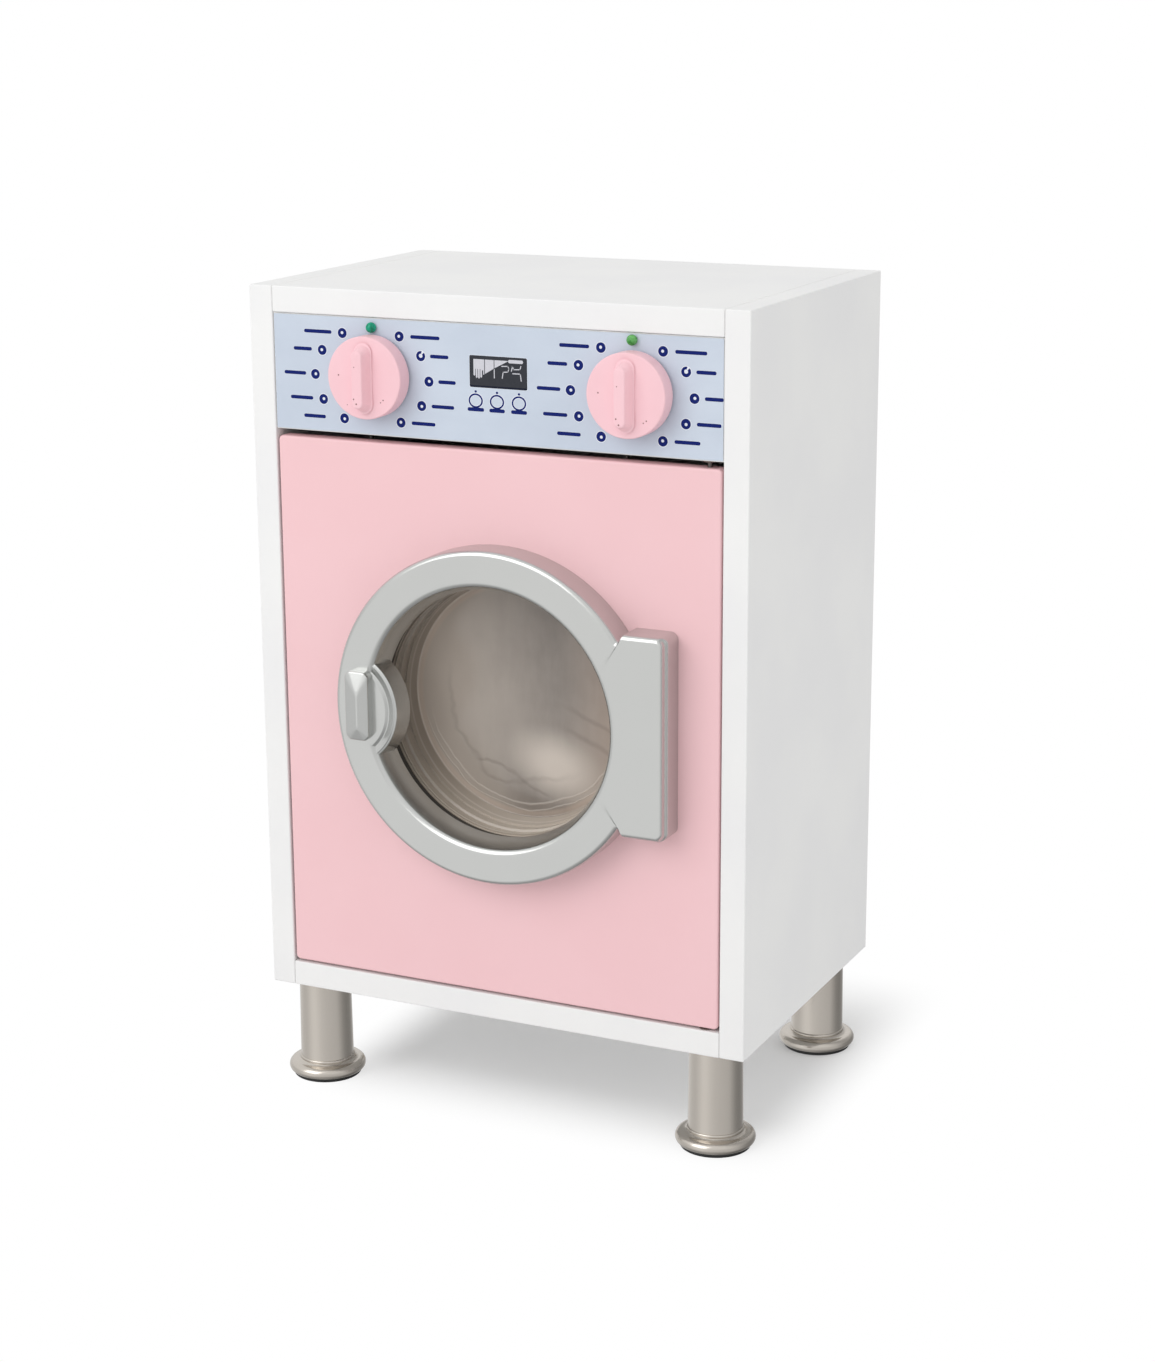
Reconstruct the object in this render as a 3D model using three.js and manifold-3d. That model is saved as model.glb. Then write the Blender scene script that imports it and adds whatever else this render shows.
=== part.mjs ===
// Toy washing machine for pretend play: a white board cabinet on four steel legs, a control panel
// with two dials that turn, and a pink door with a silver porthole that swings on pivot pins.
// Millimetres, +Z up, front towards -Y. The origin is on the floor, under the middle of the whole.
import * as THREE from 'three';
import { mergeVertices } from 'three/addons/utils/BufferGeometryUtils.js';
import { ConvexGeometry } from 'three/addons/geometries/ConvexGeometry.js';
import Module from 'manifold-3d';

const wasm = await Module();
wasm.setup();

// Cabinet
const cabinetWidth = 350;
const cabinetDepth = 232;
const cabinetHeight = 480;
const boardThickness = 17;
const backThickness = 4;
const backLap = 6; // how far the back panel is let into each board

// Clearances
const glueLine = 0.1; // flat joints that are glued or screwed together
const seatGap = 0.3; // round a pin, plug or screw, and beside a seated face
const cutOverrun = 2; // how far a cutter runs past the face that it opens
const weldDistance = 0.0001; // corners closer than this are one

// Legs
const legHeight = 70;
const legTubeRadius = 18.2;
const legTubeWall = 1.5;
const legInsetAcross = 28; // leg centre from the outside of the side board
const legInsetDeep = 22; // leg centre from the cabinet's front plane, and from its back
const flangeRadius = 26.9;
const flangeRound = 4; // the flange's edge is a half round of this radius
const flangeBottom = 2; // metal underside above the floor
const footHeight = 13.3; // floor to the joint with the tube
const collarRadius = 18.9;
const collarHeight = 1.6;
const footHollowShare = 0.25; // height of the hollow curve's middle point, of the curve's height
const spigotLength = 8;
const padRadius = 23.2;
const plugLength = 8;
const studRadius = 4;
const studLength = 12; // how far the stud goes up into the bottom board

// Control panel
const controlHeight = 75.5;
const controlThickness = 12;
const controlSetback = 1.4; // the board's face behind the cabinet's front edges
const controlTopGap = 0.3;
const labelThickness = 0.4;
const labelMargin = 0.6; // bare board left all round the printed sheet
const battenSize = 16;
const battenMargin = 4; // the battens are shorter than the board at both ends

// Dials
const knobSpacingShare = 0.5766; // between the dial centres, of the control board's width
const knobOffset = 7.6; // middle of the two dials, right of the cabinet's middle
const knobDrop = 37; // dial centre below the top board
const knobRadius = 27.4;
const knobThickness = 14.4;
const knobEdge = 2; // rounding of the disc's edges
const knobGap = 0.8; // between the dial and the printed sheet
const gripLength = 43.5; // at the grip's foot
const gripWidth = 11.4;
const gripTopLength = 36.5;
const gripTopWidth = 7.3;
const gripHeight = 8.5; // top of the grip above the disc
const gripSink = 3; // how far the grip's block goes into the disc
const spindleRadius = 3;
const spindleGrip = 10; // length of spindle inside the dial
const spindleEnd = 3; // thread left past the nut
const wheelRadius = 15;
const wheelThickness = 3;
const wheelNotchDepth = 1.4;
const wheelNotches = 12;
const washerRadius = 6.5;
const washerThickness = 1.2;
const nutAcrossFlats = 10;
const nutHeight = 5;
const springThickness = 1.2;
const springDepth = 3;
const springShow = 5; // how far the spring's end hangs below the control board
const springOffset = 11.5; // the spring is left of the dial's axis
const springFootWidth = 12;
const springFootHeight = 8;
const springFootThickness = 1.2;
const springFootRise = 3.2; // foot above the control board's lower edge

// Green beads over the dials
const beadRadius = 3.4;
const beadShifts = { left: 1, right: 1.2 }; // bead centres left of the dials' centres
const beadDrops = { left: 6.4, right: 4.6 }; // bead centres below the top board
const beadLift = 1.6; // bead centre in front of the printed sheet
const beadStemRadius = 1.3;
const beadStemLength = 7;

// Door
const doorThickness = 12;
const doorSetback = 0.5;
const doorSideGap = 1.3;
const doorTopGap = 4.6;
const doorBottomGap = 1.7;
const doorArris = 1.5; // rounding of the door's edges
const doorCorner = 3; // rounding of its outline
const pivotInset = 10; // pivot axis from the door's right edge
const pivotDepth = 5.5; // pivot axis behind the door's face
const pinRadius = 1.5;
const pinInDoor = 14;
const pinInBush = 6;
const bushWall = 0.8;
const bushFlangeRadius = 4.5;
const bushFlangeThickness = 0.9;
const bushFloor = 1; // bush length past the pin's end

// Porthole, measured from its own middle and from the door's face
const portholeHeightShare = 0.5328; // its middle above the door's lower edge, of the door's height
const portholeOffset = 4; // its middle, right of the cabinet's middle
const shellRadius = 110.4;
const shellProud = 22;
const shellEdge = 3.6;
const shellWall = 2.4;
const shellLip = 3; // rounding between the ring's face and its throat
const lipRadius = 87; // throat at the ring's face
const throatRadius = 82.8; // throat at its narrow end
const throatBack = 2.4; // narrow end in front of the door's face
const blockReach = 124.6;
const blockHalfHeight = 66;
const blockCorner = 5;
const notchDepth = 4; // the hollow where the ring runs into the block
const notchWidth = 5;
const bossCircle = 100;
const bossRadius = 4.2;
const bossAnglesDeg = [48, 132, 228, 312];
const screwRadius = 1.7;
const screwHeadRadius = 3.4;
const screwHeadHeight = 1.8;
const portholeScrewGrip = 9; // screw length inside the shell's post

// Latch lug and the half-moon beside it
const lugX = -90.9;
const lugRise = 1; // its middle above the porthole's middle
const lugWidth = 17.2;
const lugHeight = 46;
const lugProud = 10;
const lugWall = 6.5; // upright wall under the lug's hipped top
const lugCut = 3; // cut-off corners
const lugHips = { top: 15.5, bottom: 10 }; // lengths of the end slopes
const lugRidgeShift = 1.9; // ridge right of the lug's middle
const moonX = -105;
const moonDrop = 3; // its middle below the porthole's middle
const moonRadius = 41.1;
const moonFaceRadius = 33.1;
const moonFaceSink = 0.4; // the half-moon's flat face below the ring's face
const moonGrooveDepth = 2;
const moonGrooveWidth = 1.6;
const moonCrestDepth = 0.8;
const moonCrestWidth = 1.6;
const moonEdge = 2.4;
const moonBack = 6; // its back edge in front of the door's face

// Window bowl
const bowlWall = 1.5;
const bowlFlangeRadius = 92;
const bowlMouthRadius = 84.6;
const bowlStepDepth = 15; // ring step behind the door's face
const bowlStep = 0.8;
const bowlEndRadius = 80;
const bowlDepth = 38; // inside of the end disc behind the door's face
const bowlRound = 3;

// Magnetic catch, half way up the door's left side
const catchWidth = 14;
const catchDepth = 17;
const catchLength = 46;
const catchPlateGap = 0.4; // magnet to strike plate with the door shut
const magnetWidth = 8;
const magnetDepth = 10;
const magnetLength = 22;
const strikeWidth = 12;
const strikeLength = 46;
const strikeThickness = 1;
const strikeScrewSpacing = 36;
const catchScrewSpacing = 36;
const smallScrewRadius = 1.2;
const smallScrewHeadRadius = 2.6;
const smallScrewHeadHeight = 1.2;
const smallScrewGrip = 8; // length in the wood

// Roundness
const ringSegments = 48;
const moonSegments = 48;
const knobSegments = 32;
const legSegments = 20;
const bushSegments = 16;
const pinSegments = 12;
const nutSides = 6;
const wheelStepsPerNotch = 2;
const arcSegments = 3;
const bevelSegments = 2;

// Places worked out from the sizes above; inside the cabinet's group y = 0 is the front plane
const innerHalfWidth = cabinetWidth / 2 - boardThickness;
const frontReach = shellProud + lugProud - doorSetback;
const rearReach = flangeRadius - legInsetDeep; // the rear feet stand out behind the back
const topUnderside = cabinetHeight - boardThickness;
const controlTop = topUnderside - controlTopGap;
const controlBottom = controlTop - controlHeight;
const controlBack = controlSetback + controlThickness;
const labelBack = controlSetback - glueLine;
const labelFront = labelBack - labelThickness;
const knobHeight = topUnderside - knobDrop;
const knobReach = innerHalfWidth * knobSpacingShare;
const knobXs = { left: knobOffset - knobReach, right: knobOffset + knobReach };
const beadPlaces = {
  left: [knobXs.left - beadShifts.left, 0, topUnderside - beadDrops.left],
  right: [knobXs.right - beadShifts.right, 0, topUnderside - beadDrops.right],
};
const doorTop = controlBottom - doorTopGap;
const doorBottom = boardThickness + doorBottomGap;
const portholeHeight = doorBottom + (doorTop - doorBottom) * portholeHeightShare;
const catchHeight = (doorBottom + doorTop) / 2;
const doorHalfWidth = innerHalfWidth - doorSideGap;
const doorBack = doorSetback + doorThickness;
const pivotX = doorHalfWidth - pivotInset;
const pivotY = doorSetback + pivotDepth;
const bushBore = pinRadius + seatGap;
const bushRadius = bushBore + bushWall;
const bushLength = pinInBush + bushFloor;
const bowlOuterRadius = bowlMouthRadius + bowlWall;
const holeRadius = bowlOuterRadius + seatGap;
const legX = cabinetWidth / 2 - legInsetAcross;
const legYs = { front: legInsetDeep, rear: cabinetDepth - legInsetDeep };
const strikeX = strikeWidth / 2 + doorArris - doorHalfWidth;
const strikeBack = doorBack + glueLine + strikeThickness;
const catchFront = strikeBack + catchPlateGap;

const finish = (color, roughness, metalness = 0) =>
  new THREE.MeshStandardMaterial({ color, roughness, metalness });
const whitePaint = finish('#f0f0ee', 0.45);
const bareBoard = finish('#d9cbb0', 0.8);
const hardboard = finish('#e9e7e2', 0.6);
const bluePrint = finish('#cdd8e6', 0.4);
const pinkPaint = finish('#f3cbd0', 0.35);
const silverPlastic = finish('#c8c9c7', 0.3, 0.4);
const smokyPlastic = new THREE.MeshStandardMaterial({
  color: '#968c82', roughness: 0.15, transparent: true, opacity: 0.7,
});
const greenGloss = finish('#0e7850', 0.15);
const steel = finish('#b2aaa0', 0.35, 1);
const blackPlastic = finish('#171717', 0.6);
const creamPlastic = finish('#e4dfd2', 0.5);

// Joins corners that meet and drops the flat triangles that a turned shape has on its axis.
function weld(geometry) {
  const bare = new THREE.BufferGeometry();
  bare.setAttribute('position', geometry.getAttribute('position').clone());
  bare.setIndex(geometry.index ? geometry.index.clone() : null);
  const merged = mergeVertices(bare, weldDistance);
  const kept = [];
  for (let i = 0; i < merged.index.count; i += 3) {
    const corners = [merged.index.getX(i), merged.index.getX(i + 1), merged.index.getX(i + 2)];
    if (new Set(corners).size === corners.length) kept.push(...corners);
  }
  merged.setIndex(kept);
  return merged;
}

function toSolid(geometry) {
  const welded = weld(geometry);
  return new wasm.Manifold(new wasm.Mesh({
    numProp: 3,
    vertProperties: new Float32Array(welded.getAttribute('position').array),
    triVerts: new Uint32Array(welded.index.array),
  }));
}

function toGeometry(solid) {
  const mesh = solid.getMesh();
  const geometry = new THREE.BufferGeometry();
  geometry.setAttribute('position', new THREE.BufferAttribute(mesh.vertProperties, mesh.numProp));
  geometry.setIndex(new THREE.BufferAttribute(mesh.triVerts, 1));
  return geometry;
}

function cut(geometry, ...cutters) {
  const solid = cutters.reduce((left, cutter) => left.subtract(toSolid(cutter)), toSolid(geometry));
  return toGeometry(solid);
}

function fuse(geometry, ...others) {
  const solid = others.reduce((whole, other) => whole.add(toSolid(other)), toSolid(geometry));
  return toGeometry(solid);
}

function common(geometry, other) {
  return toGeometry(toSolid(geometry).intersect(toSolid(other)));
}

// A box between two corners.
function slab(low, high) {
  const size = low.map((value, axis) => high[axis] - value);
  const middle = low.map((value, axis) => (high[axis] + value) / 2);
  return new THREE.BoxGeometry(...size).translate(...middle);
}

// A round bar along one axis, from one place to the other, centred on the other two.
function bar(axis, radius, from, to, segments = pinSegments) {
  const geometry = new THREE.CylinderGeometry(radius, radius, to - from, segments);
  geometry.translate(0, (from + to) / 2, 0);
  if (axis === 'x') geometry.rotateZ(-Math.PI / 2);
  if (axis === 'z') geometry.rotateX(Math.PI / 2);
  return geometry;
}

// A turned piece about the Y axis, from a profile of [radius, y] that starts and ends on the axis
// or closes on itself.
function turnedY(profile, segments) {
  const points = profile.map(([radius, y]) => new THREE.Vector2(radius, y));
  if (THREE.ShapeUtils.area(points) < 0) points.reverse();
  return new THREE.LatheGeometry(points, segments);
}

function turnedZ(profile, segments) {
  return turnedY(profile, segments).rotateX(Math.PI / 2);
}

// Points of a quarter round or other arc in a profile, about a centre.
function arc(centre, radius, fromDeg, toDeg, steps = arcSegments) {
  const points = [];
  for (let i = 0; i <= steps; i += 1) {
    const angle = THREE.MathUtils.degToRad(fromDeg + ((toDeg - fromDeg) * i) / steps);
    points.push([centre[0] + radius * Math.cos(angle), centre[1] + radius * Math.sin(angle)]);
  }
  return points;
}

// An upright outline of [x, z] made into a plate whose back is at y and whose face is in front of
// it, both with the same edge rounding.
function plate(shape, back, thickness, edge = 0) {
  const geometry = new THREE.ExtrudeGeometry(shape, {
    depth: thickness - 2 * edge,
    bevelEnabled: edge > 0,
    bevelThickness: edge,
    bevelSize: edge,
    bevelOffset: -edge,
    bevelSegments,
    curveSegments: arcSegments,
  });
  return geometry.rotateX(Math.PI / 2).translate(0, back - edge, 0);
}

const outline = (points) => new THREE.Shape(points.map(([x, z]) => new THREE.Vector2(x, z)));

function addMesh(parent, name, geometry, material, place = [0, 0, 0]) {
  const mesh = new THREE.Mesh(weld(geometry), material);
  mesh.name = name;
  mesh.position.set(...place);
  parent.add(mesh);
  return mesh;
}

// Cabinet boards. The back panel's place, with its glue line, is cut from all four boards.
function makeBoards(cabinet) {
  const lapHalfWidth = innerHalfWidth + backLap;
  const lapBottom = boardThickness - backLap;
  const lapTop = topUnderside + backLap;
  const rebate = slab(
    [-lapHalfWidth - glueLine, cabinetDepth - backThickness - glueLine, lapBottom - glueLine],
    [lapHalfWidth + glueLine, cabinetDepth + cutOverrun, lapTop + glueLine],
  );
  const sideY = catchFront + catchDepth / 2;
  const holeEnd = -innerHalfWidth - smallScrewGrip - seatGap;
  const catchHoles = [-1, 1].map((side) =>
    bar('x', smallScrewRadius + seatGap, holeEnd, cutOverrun - innerHalfWidth)
      .translate(0, sideY, catchHeight + (side * catchScrewSpacing) / 2));
  const leftSide = slab(
    [-cabinetWidth / 2, 0, 0],
    [-innerHalfWidth, cabinetDepth, cabinetHeight],
  );
  const rightSide = slab([innerHalfWidth, 0, 0], [cabinetWidth / 2, cabinetDepth, cabinetHeight]);
  addMesh(cabinet, 'side_board_left', cut(leftSide, rebate, ...catchHoles), whitePaint);
  addMesh(cabinet, 'side_board_right', cut(rightSide, rebate), whitePaint);

  const halfShelf = innerHalfWidth - glueLine;
  const top = slab([-halfShelf, 0, topUnderside], [halfShelf, cabinetDepth, cabinetHeight]);
  addMesh(cabinet, 'top_board', cut(top, rebate), whitePaint);

  const bottom = slab([-halfShelf, 0, 0], [halfShelf, cabinetDepth, boardThickness]);
  const studHoles = [-legX, legX].flatMap((x) => Object.values(legYs).map((y) =>
    bar('z', studRadius + seatGap, -cutOverrun, studLength + seatGap).translate(x, y, 0)));
  const bushHole = bar('z', bushRadius + seatGap, boardThickness - bushLength - seatGap,
    boardThickness + cutOverrun).translate(pivotX, pivotY, 0);
  addMesh(cabinet, 'bottom_board', cut(bottom, rebate, bushHole, ...studHoles), whitePaint);

  const back = slab(
    [-lapHalfWidth, cabinetDepth - backThickness, lapBottom],
    [lapHalfWidth, cabinetDepth, lapTop],
  );
  addMesh(cabinet, 'back_panel', back, hardboard);
}

// Control board, its printed sheet and the battens that fix it to the sides.
function makeControlPanel(cabinet) {
  const halfWidth = innerHalfWidth - glueLine;
  const board = slab(
    [-halfWidth, controlSetback, controlBottom],
    [halfWidth, controlBack, controlTop],
  );
  const through = (radius, x, z) =>
    bar('y', radius, labelFront - cutOverrun, controlBack + cutOverrun).translate(x, 0, z);
  const knobHoles = Object.values(knobXs).map((x) => through(spindleRadius + seatGap, x, knobHeight));
  const beadHoles = Object.values(beadPlaces).map(([x, , z]) =>
    through(beadStemRadius + seatGap, x, z));
  const bushHole = bar('z', bushRadius + seatGap, controlBottom - cutOverrun,
    controlBottom + bushLength + seatGap).translate(pivotX, pivotY, 0);
  addMesh(cabinet, 'control_board', cut(board, bushHole, ...knobHoles, ...beadHoles), creamPlastic);

  const sheet = slab(
    [labelMargin - halfWidth, labelFront, controlBottom + labelMargin],
    [halfWidth - labelMargin, labelBack, controlTop - labelMargin],
  );
  addMesh(cabinet, 'control_label', cut(sheet, ...knobHoles, ...beadHoles), bluePrint);

  Object.entries({ left: -1, right: 1 }).forEach(([side, sign]) => {
    const inner = sign * (innerHalfWidth - glueLine - battenSize);
    const outer = sign * (innerHalfWidth - glueLine);
    const batten = slab(
      [Math.min(inner, outer), controlBack + glueLine, controlBottom + battenMargin],
      [Math.max(inner, outer), controlBack + glueLine + battenSize, controlTop - battenMargin],
    );
    addMesh(cabinet, `control_batten_${side}`, batten, bareBoard);
  });
}

function makeBead() {
  const back = labelFront - glueLine;
  const centreY = labelFront - beadLift;
  const flatDeg = THREE.MathUtils.radToDeg(Math.asin((back - centreY) / beadRadius));
  return turnedY([
    ...arc([0, centreY], beadRadius, -90, flatDeg, 2 * arcSegments).map(([r, y], i) => [i ? r : 0, y]),
    [beadStemRadius, back],
    [beadStemRadius, back + beadStemLength],
    [0, back + beadStemLength],
  ], pinSegments);
}

// Points round a bar with half-round ends, seen from the front.
function barOutline(width, length, y) {
  const half = (length - width) / 2;
  return [
    ...arc([0, half], width / 2, 0, 180, 2 * arcSegments),
    ...arc([0, -half], width / 2, 180, 360, 2 * arcSegments),
  ].map(([x, z]) => new THREE.Vector3(x, y, z));
}

// A dial: a wooden disc with rounded edges and a tapered grip across it, bored for its spindle.
function makeKnob() {
  const back = labelFront - knobGap;
  const face = back - knobThickness;
  const disc = turnedY([
    [0, face],
    ...arc([knobRadius - knobEdge, face + knobEdge], knobEdge, -90, 0),
    ...arc([knobRadius - knobEdge, back - knobEdge], knobEdge, 0, 90),
    [0, back],
  ], knobSegments);
  const grip = new ConvexGeometry([
    ...barOutline(gripWidth, gripLength, face + gripSink),
    ...barOutline(gripWidth, gripLength, face),
    ...barOutline(gripTopWidth, gripTopLength, face - gripHeight),
  ]);
  const bore = bar('y', spindleRadius + seatGap, back - spindleGrip - seatGap, back + cutOverrun);
  return cut(fuse(disc, grip), bore);
}

function makeClickWheel(back) {
  const points = [];
  for (let i = 0; i < wheelNotches * wheelStepsPerNotch; i += 1) {
    const turn = i / wheelStepsPerNotch;
    const radius = wheelRadius - (wheelNotchDepth * (1 + Math.cos(2 * Math.PI * turn))) / 2;
    const angle = (2 * Math.PI * turn) / wheelNotches;
    points.push([radius * Math.cos(angle), radius * Math.sin(angle)]);
  }
  const bore = bar('y', spindleRadius + seatGap, back - wheelThickness - cutOverrun, back + cutOverrun);
  return cut(plate(outline(points), back, wheelThickness), bore);
}

function makeNut(back) {
  const corner = nutAcrossFlats / 2 / Math.cos(Math.PI / nutSides);
  const bore = bar('y', spindleRadius + seatGap, back - nutHeight - cutOverrun, back + cutOverrun);
  return cut(bar('y', corner, back - nutHeight, back, nutSides), bore);
}

// Leaf behind the board: its tip stands just under the click wheel's rim, its other end hangs in
// the gap over the door, and its foot is glued to the board.
function makeClickSpring(wheelFace) {
  const nearSide = springOffset - springThickness / 2;
  const tip = knobHeight - Math.sqrt(wheelRadius ** 2 - nearSide ** 2) - seatGap;
  const end = controlBottom - springShow;
  const leafBack = wheelFace + springDepth;
  const leaf = slab(
    [-springThickness / 2, wheelFace, end],
    [springThickness / 2, leafBack, tip],
  );
  const footBottom = controlBottom + springFootRise;
  const foot = slab(
    [-springFootWidth / 2, controlBack + glueLine, footBottom],
    [springFootWidth / 2, controlBack + glueLine + springFootThickness, footBottom + springFootHeight],
  );
  return fuse(leaf, foot);
}

function makeDials(cabinet) {
  const wheelFace = controlBack + seatGap;
  const wheelBack = wheelFace + wheelThickness;
  const washerBack = wheelBack + seatGap + washerThickness;
  const nutBack = washerBack + seatGap + nutHeight;
  const knobBack = labelFront - knobGap;
  Object.entries(knobXs).forEach(([side, x]) => {
    const dial = new THREE.Group();
    dial.position.set(x, 0, knobHeight);
    cabinet.add(dial);
    addMesh(dial, `knob_${side}`, makeKnob(), pinkPaint);
    addMesh(dial, `spindle_${side}`,
      bar('y', spindleRadius, knobBack - spindleGrip, nutBack + spindleEnd), steel);
    addMesh(dial, `click_wheel_${side}`, makeClickWheel(wheelBack), creamPlastic);
    const washerHole = bar('y', spindleRadius + seatGap, wheelBack, nutBack);
    const washer = bar('y', washerRadius, wheelBack + seatGap, washerBack, knobSegments / 2);
    addMesh(dial, `spindle_washer_${side}`, cut(washer, washerHole), steel);
    addMesh(dial, `spindle_nut_${side}`, makeNut(nutBack), steel);
    addMesh(cabinet, `click_spring_${side}`, makeClickSpring(wheelFace), steel,
      [x - springOffset, 0, 0]);
    addMesh(cabinet, `indicator_bead_${side}`, makeBead(), greenGloss, beadPlaces[side]);
  });
}

// Outline of the porthole moulding seen from the front: a ring's outside that runs into a
// rectangular block on the right, with a small hollow above and below where they meet.
function portholeOutline(inset) {
  const radius = shellRadius - inset;
  const half = blockHalfHeight - inset;
  const reach = blockReach - inset;
  const corner = blockCorner - inset / 2;
  const meet = Math.asin((half - notchDepth) / radius);
  const meetDeg = THREE.MathUtils.radToDeg(meet);
  const a = new THREE.Vector2(radius * Math.cos(meet), radius * Math.sin(meet));
  const b = new THREE.Vector2(a.x + notchWidth, half);
  const valley = new THREE.Vector2(a.x + notchWidth / 2, a.y - notchDepth / 2);
  const hollow = new THREE.QuadraticBezierCurve(a, valley, b).getPoints(arcSegments);
  const top = hollow.map(({ x, y }) => [x, y]);
  const bottom = top.map(([x, z]) => [x, -z]).reverse();
  return outline([
    ...arc([0, 0], radius, meetDeg, 360 - meetDeg, ringSegments).slice(1, -1),
    ...bottom.slice().reverse(),
    ...arc([reach - corner, corner - half], corner, 270, 360),
    ...arc([reach - corner, half - corner], corner, 0, 90),
    ...top.slice().reverse(),
  ]);
}

// The silver moulding: a thin shell, open behind, with a tapering throat, posts for its screws, a
// hipped latch lug and a stepped half-moon that reaches into the throat beside the lug.
function makePortholeShell() {
  const face = -shellProud;
  const back = -glueLine;
  const behind = shellEdge + cutOverrun;
  const body = plate(portholeOutline(0), behind, behind + shellProud, shellEdge);
  const trim = slab(
    [-2 * shellRadius, back, -2 * shellRadius],
    [2 * shellRadius, behind + cutOverrun, 2 * shellRadius],
  );
  const lipCentre = [lipRadius + shellLip, face + shellLip];
  const throat = turnedY([
    [0, face - cutOverrun],
    [lipRadius + shellLip, face - cutOverrun],
    ...arc(lipCentre, shellLip, -90, -180),
    [throatRadius, -throatBack],
    [bowlFlangeRadius + seatGap, -throatBack],
    [bowlFlangeRadius + seatGap, cutOverrun],
    [0, cutOverrun],
  ], ringSegments);
  const throatSkin = turnedY([
    [0, face],
    [lipRadius + shellLip + shellWall, face],
    [lipRadius + shellWall, face + shellLip + shellWall],
    [throatRadius + shellWall, cutOverrun],
    [0, cutOverrun],
  ], ringSegments);
  const core = plate(portholeOutline(shellWall), cutOverrun, cutOverrun + shellProud - shellWall);
  const hollow = cut(core, throatSkin);
  const posts = bossAnglesDeg.map((deg) => {
    const angle = THREE.MathUtils.degToRad(deg);
    return bar('y', bossRadius, face + shellWall / 2, back)
      .translate(bossCircle * Math.cos(angle), 0, bossCircle * Math.sin(angle));
  });
  const postBores = bossAnglesDeg.map((deg) => {
    const angle = THREE.MathUtils.degToRad(deg);
    return bar('y', screwRadius + seatGap, -portholeScrewGrip - seatGap, cutOverrun)
      .translate(bossCircle * Math.cos(angle), 0, bossCircle * Math.sin(angle));
  });
  const shell = cut(body, trim, hollow, throat);
  return cut(fuse(shell, ...posts, makeLug(face), makeHalfMoon(face)), ...postBores);
}

function makeLug(face) {
  const root = face + shellWall / 2;
  const eaves = face - lugWall;
  const crest = face - lugProud;
  const points = [];
  [-1, 1].forEach((sx) => [-1, 1].forEach((sz) => {
    [root, eaves].forEach((y) => {
      points.push(new THREE.Vector3(sx * (lugWidth / 2 - lugCut), y, (sz * lugHeight) / 2));
      points.push(new THREE.Vector3((sx * lugWidth) / 2, y, sz * (lugHeight / 2 - lugCut)));
    });
  }));
  points.push(new THREE.Vector3(lugRidgeShift, crest, lugHeight / 2 - lugHips.top));
  points.push(new THREE.Vector3(lugRidgeShift, crest, lugHips.bottom - lugHeight / 2));
  return new ConvexGeometry(points).translate(lugX, 0, lugRise);
}

function makeHalfMoon(face) {
  const flat = face + moonFaceSink;
  const grooveRadius = moonFaceRadius + moonGrooveWidth;
  const crestRadius = grooveRadius + moonCrestWidth;
  const moon = turnedY([
    [0, flat],
    [moonFaceRadius, flat],
    [grooveRadius, flat + moonGrooveDepth],
    [crestRadius, flat + moonCrestDepth],
    ...arc([moonRadius - moonEdge, flat + moonCrestDepth + moonEdge], moonEdge, -90, 0),
    [moonRadius, -moonBack],
    [0, -moonBack],
  ], moonSegments).translate(moonX, 0, -moonDrop);
  const limit = bar('y', lipRadius, face - cutOverrun, cutOverrun, ringSegments);
  return common(moon, limit);
}

function makeWindowBowl() {
  const flangeBack = -seatGap;
  const flangeFace = flangeBack - bowlWall;
  const stepped = bowlMouthRadius - bowlStep;
  const roundCentre = [bowlEndRadius - bowlRound, bowlDepth - bowlRound];
  return turnedY([
    [0, bowlDepth],
    ...arc(roundCentre, bowlRound, 90, 0),
    [stepped, bowlStepDepth + bowlStep],
    [bowlMouthRadius, bowlStepDepth],
    [bowlMouthRadius, flangeFace],
    [bowlFlangeRadius, flangeFace],
    [bowlFlangeRadius, flangeBack],
    [bowlOuterRadius, flangeBack],
    [bowlOuterRadius, bowlStepDepth],
    [stepped + bowlWall, bowlStepDepth + bowlStep],
    ...arc(roundCentre, bowlRound + bowlWall, 0, 90),
    [0, bowlDepth + bowlWall],
  ], ringSegments);
}

function woodScrew(radius, headRadius, headHeight, seat, grip, segments = pinSegments) {
  return turnedY([
    [0, seat - grip],
    [radius, seat - grip + radius],
    [radius, seat],
    [headRadius, seat],
    [headRadius, seat + headHeight / 2],
    [headRadius / 2, seat + headHeight],
    [0, seat + headHeight],
  ], segments);
}

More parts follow.
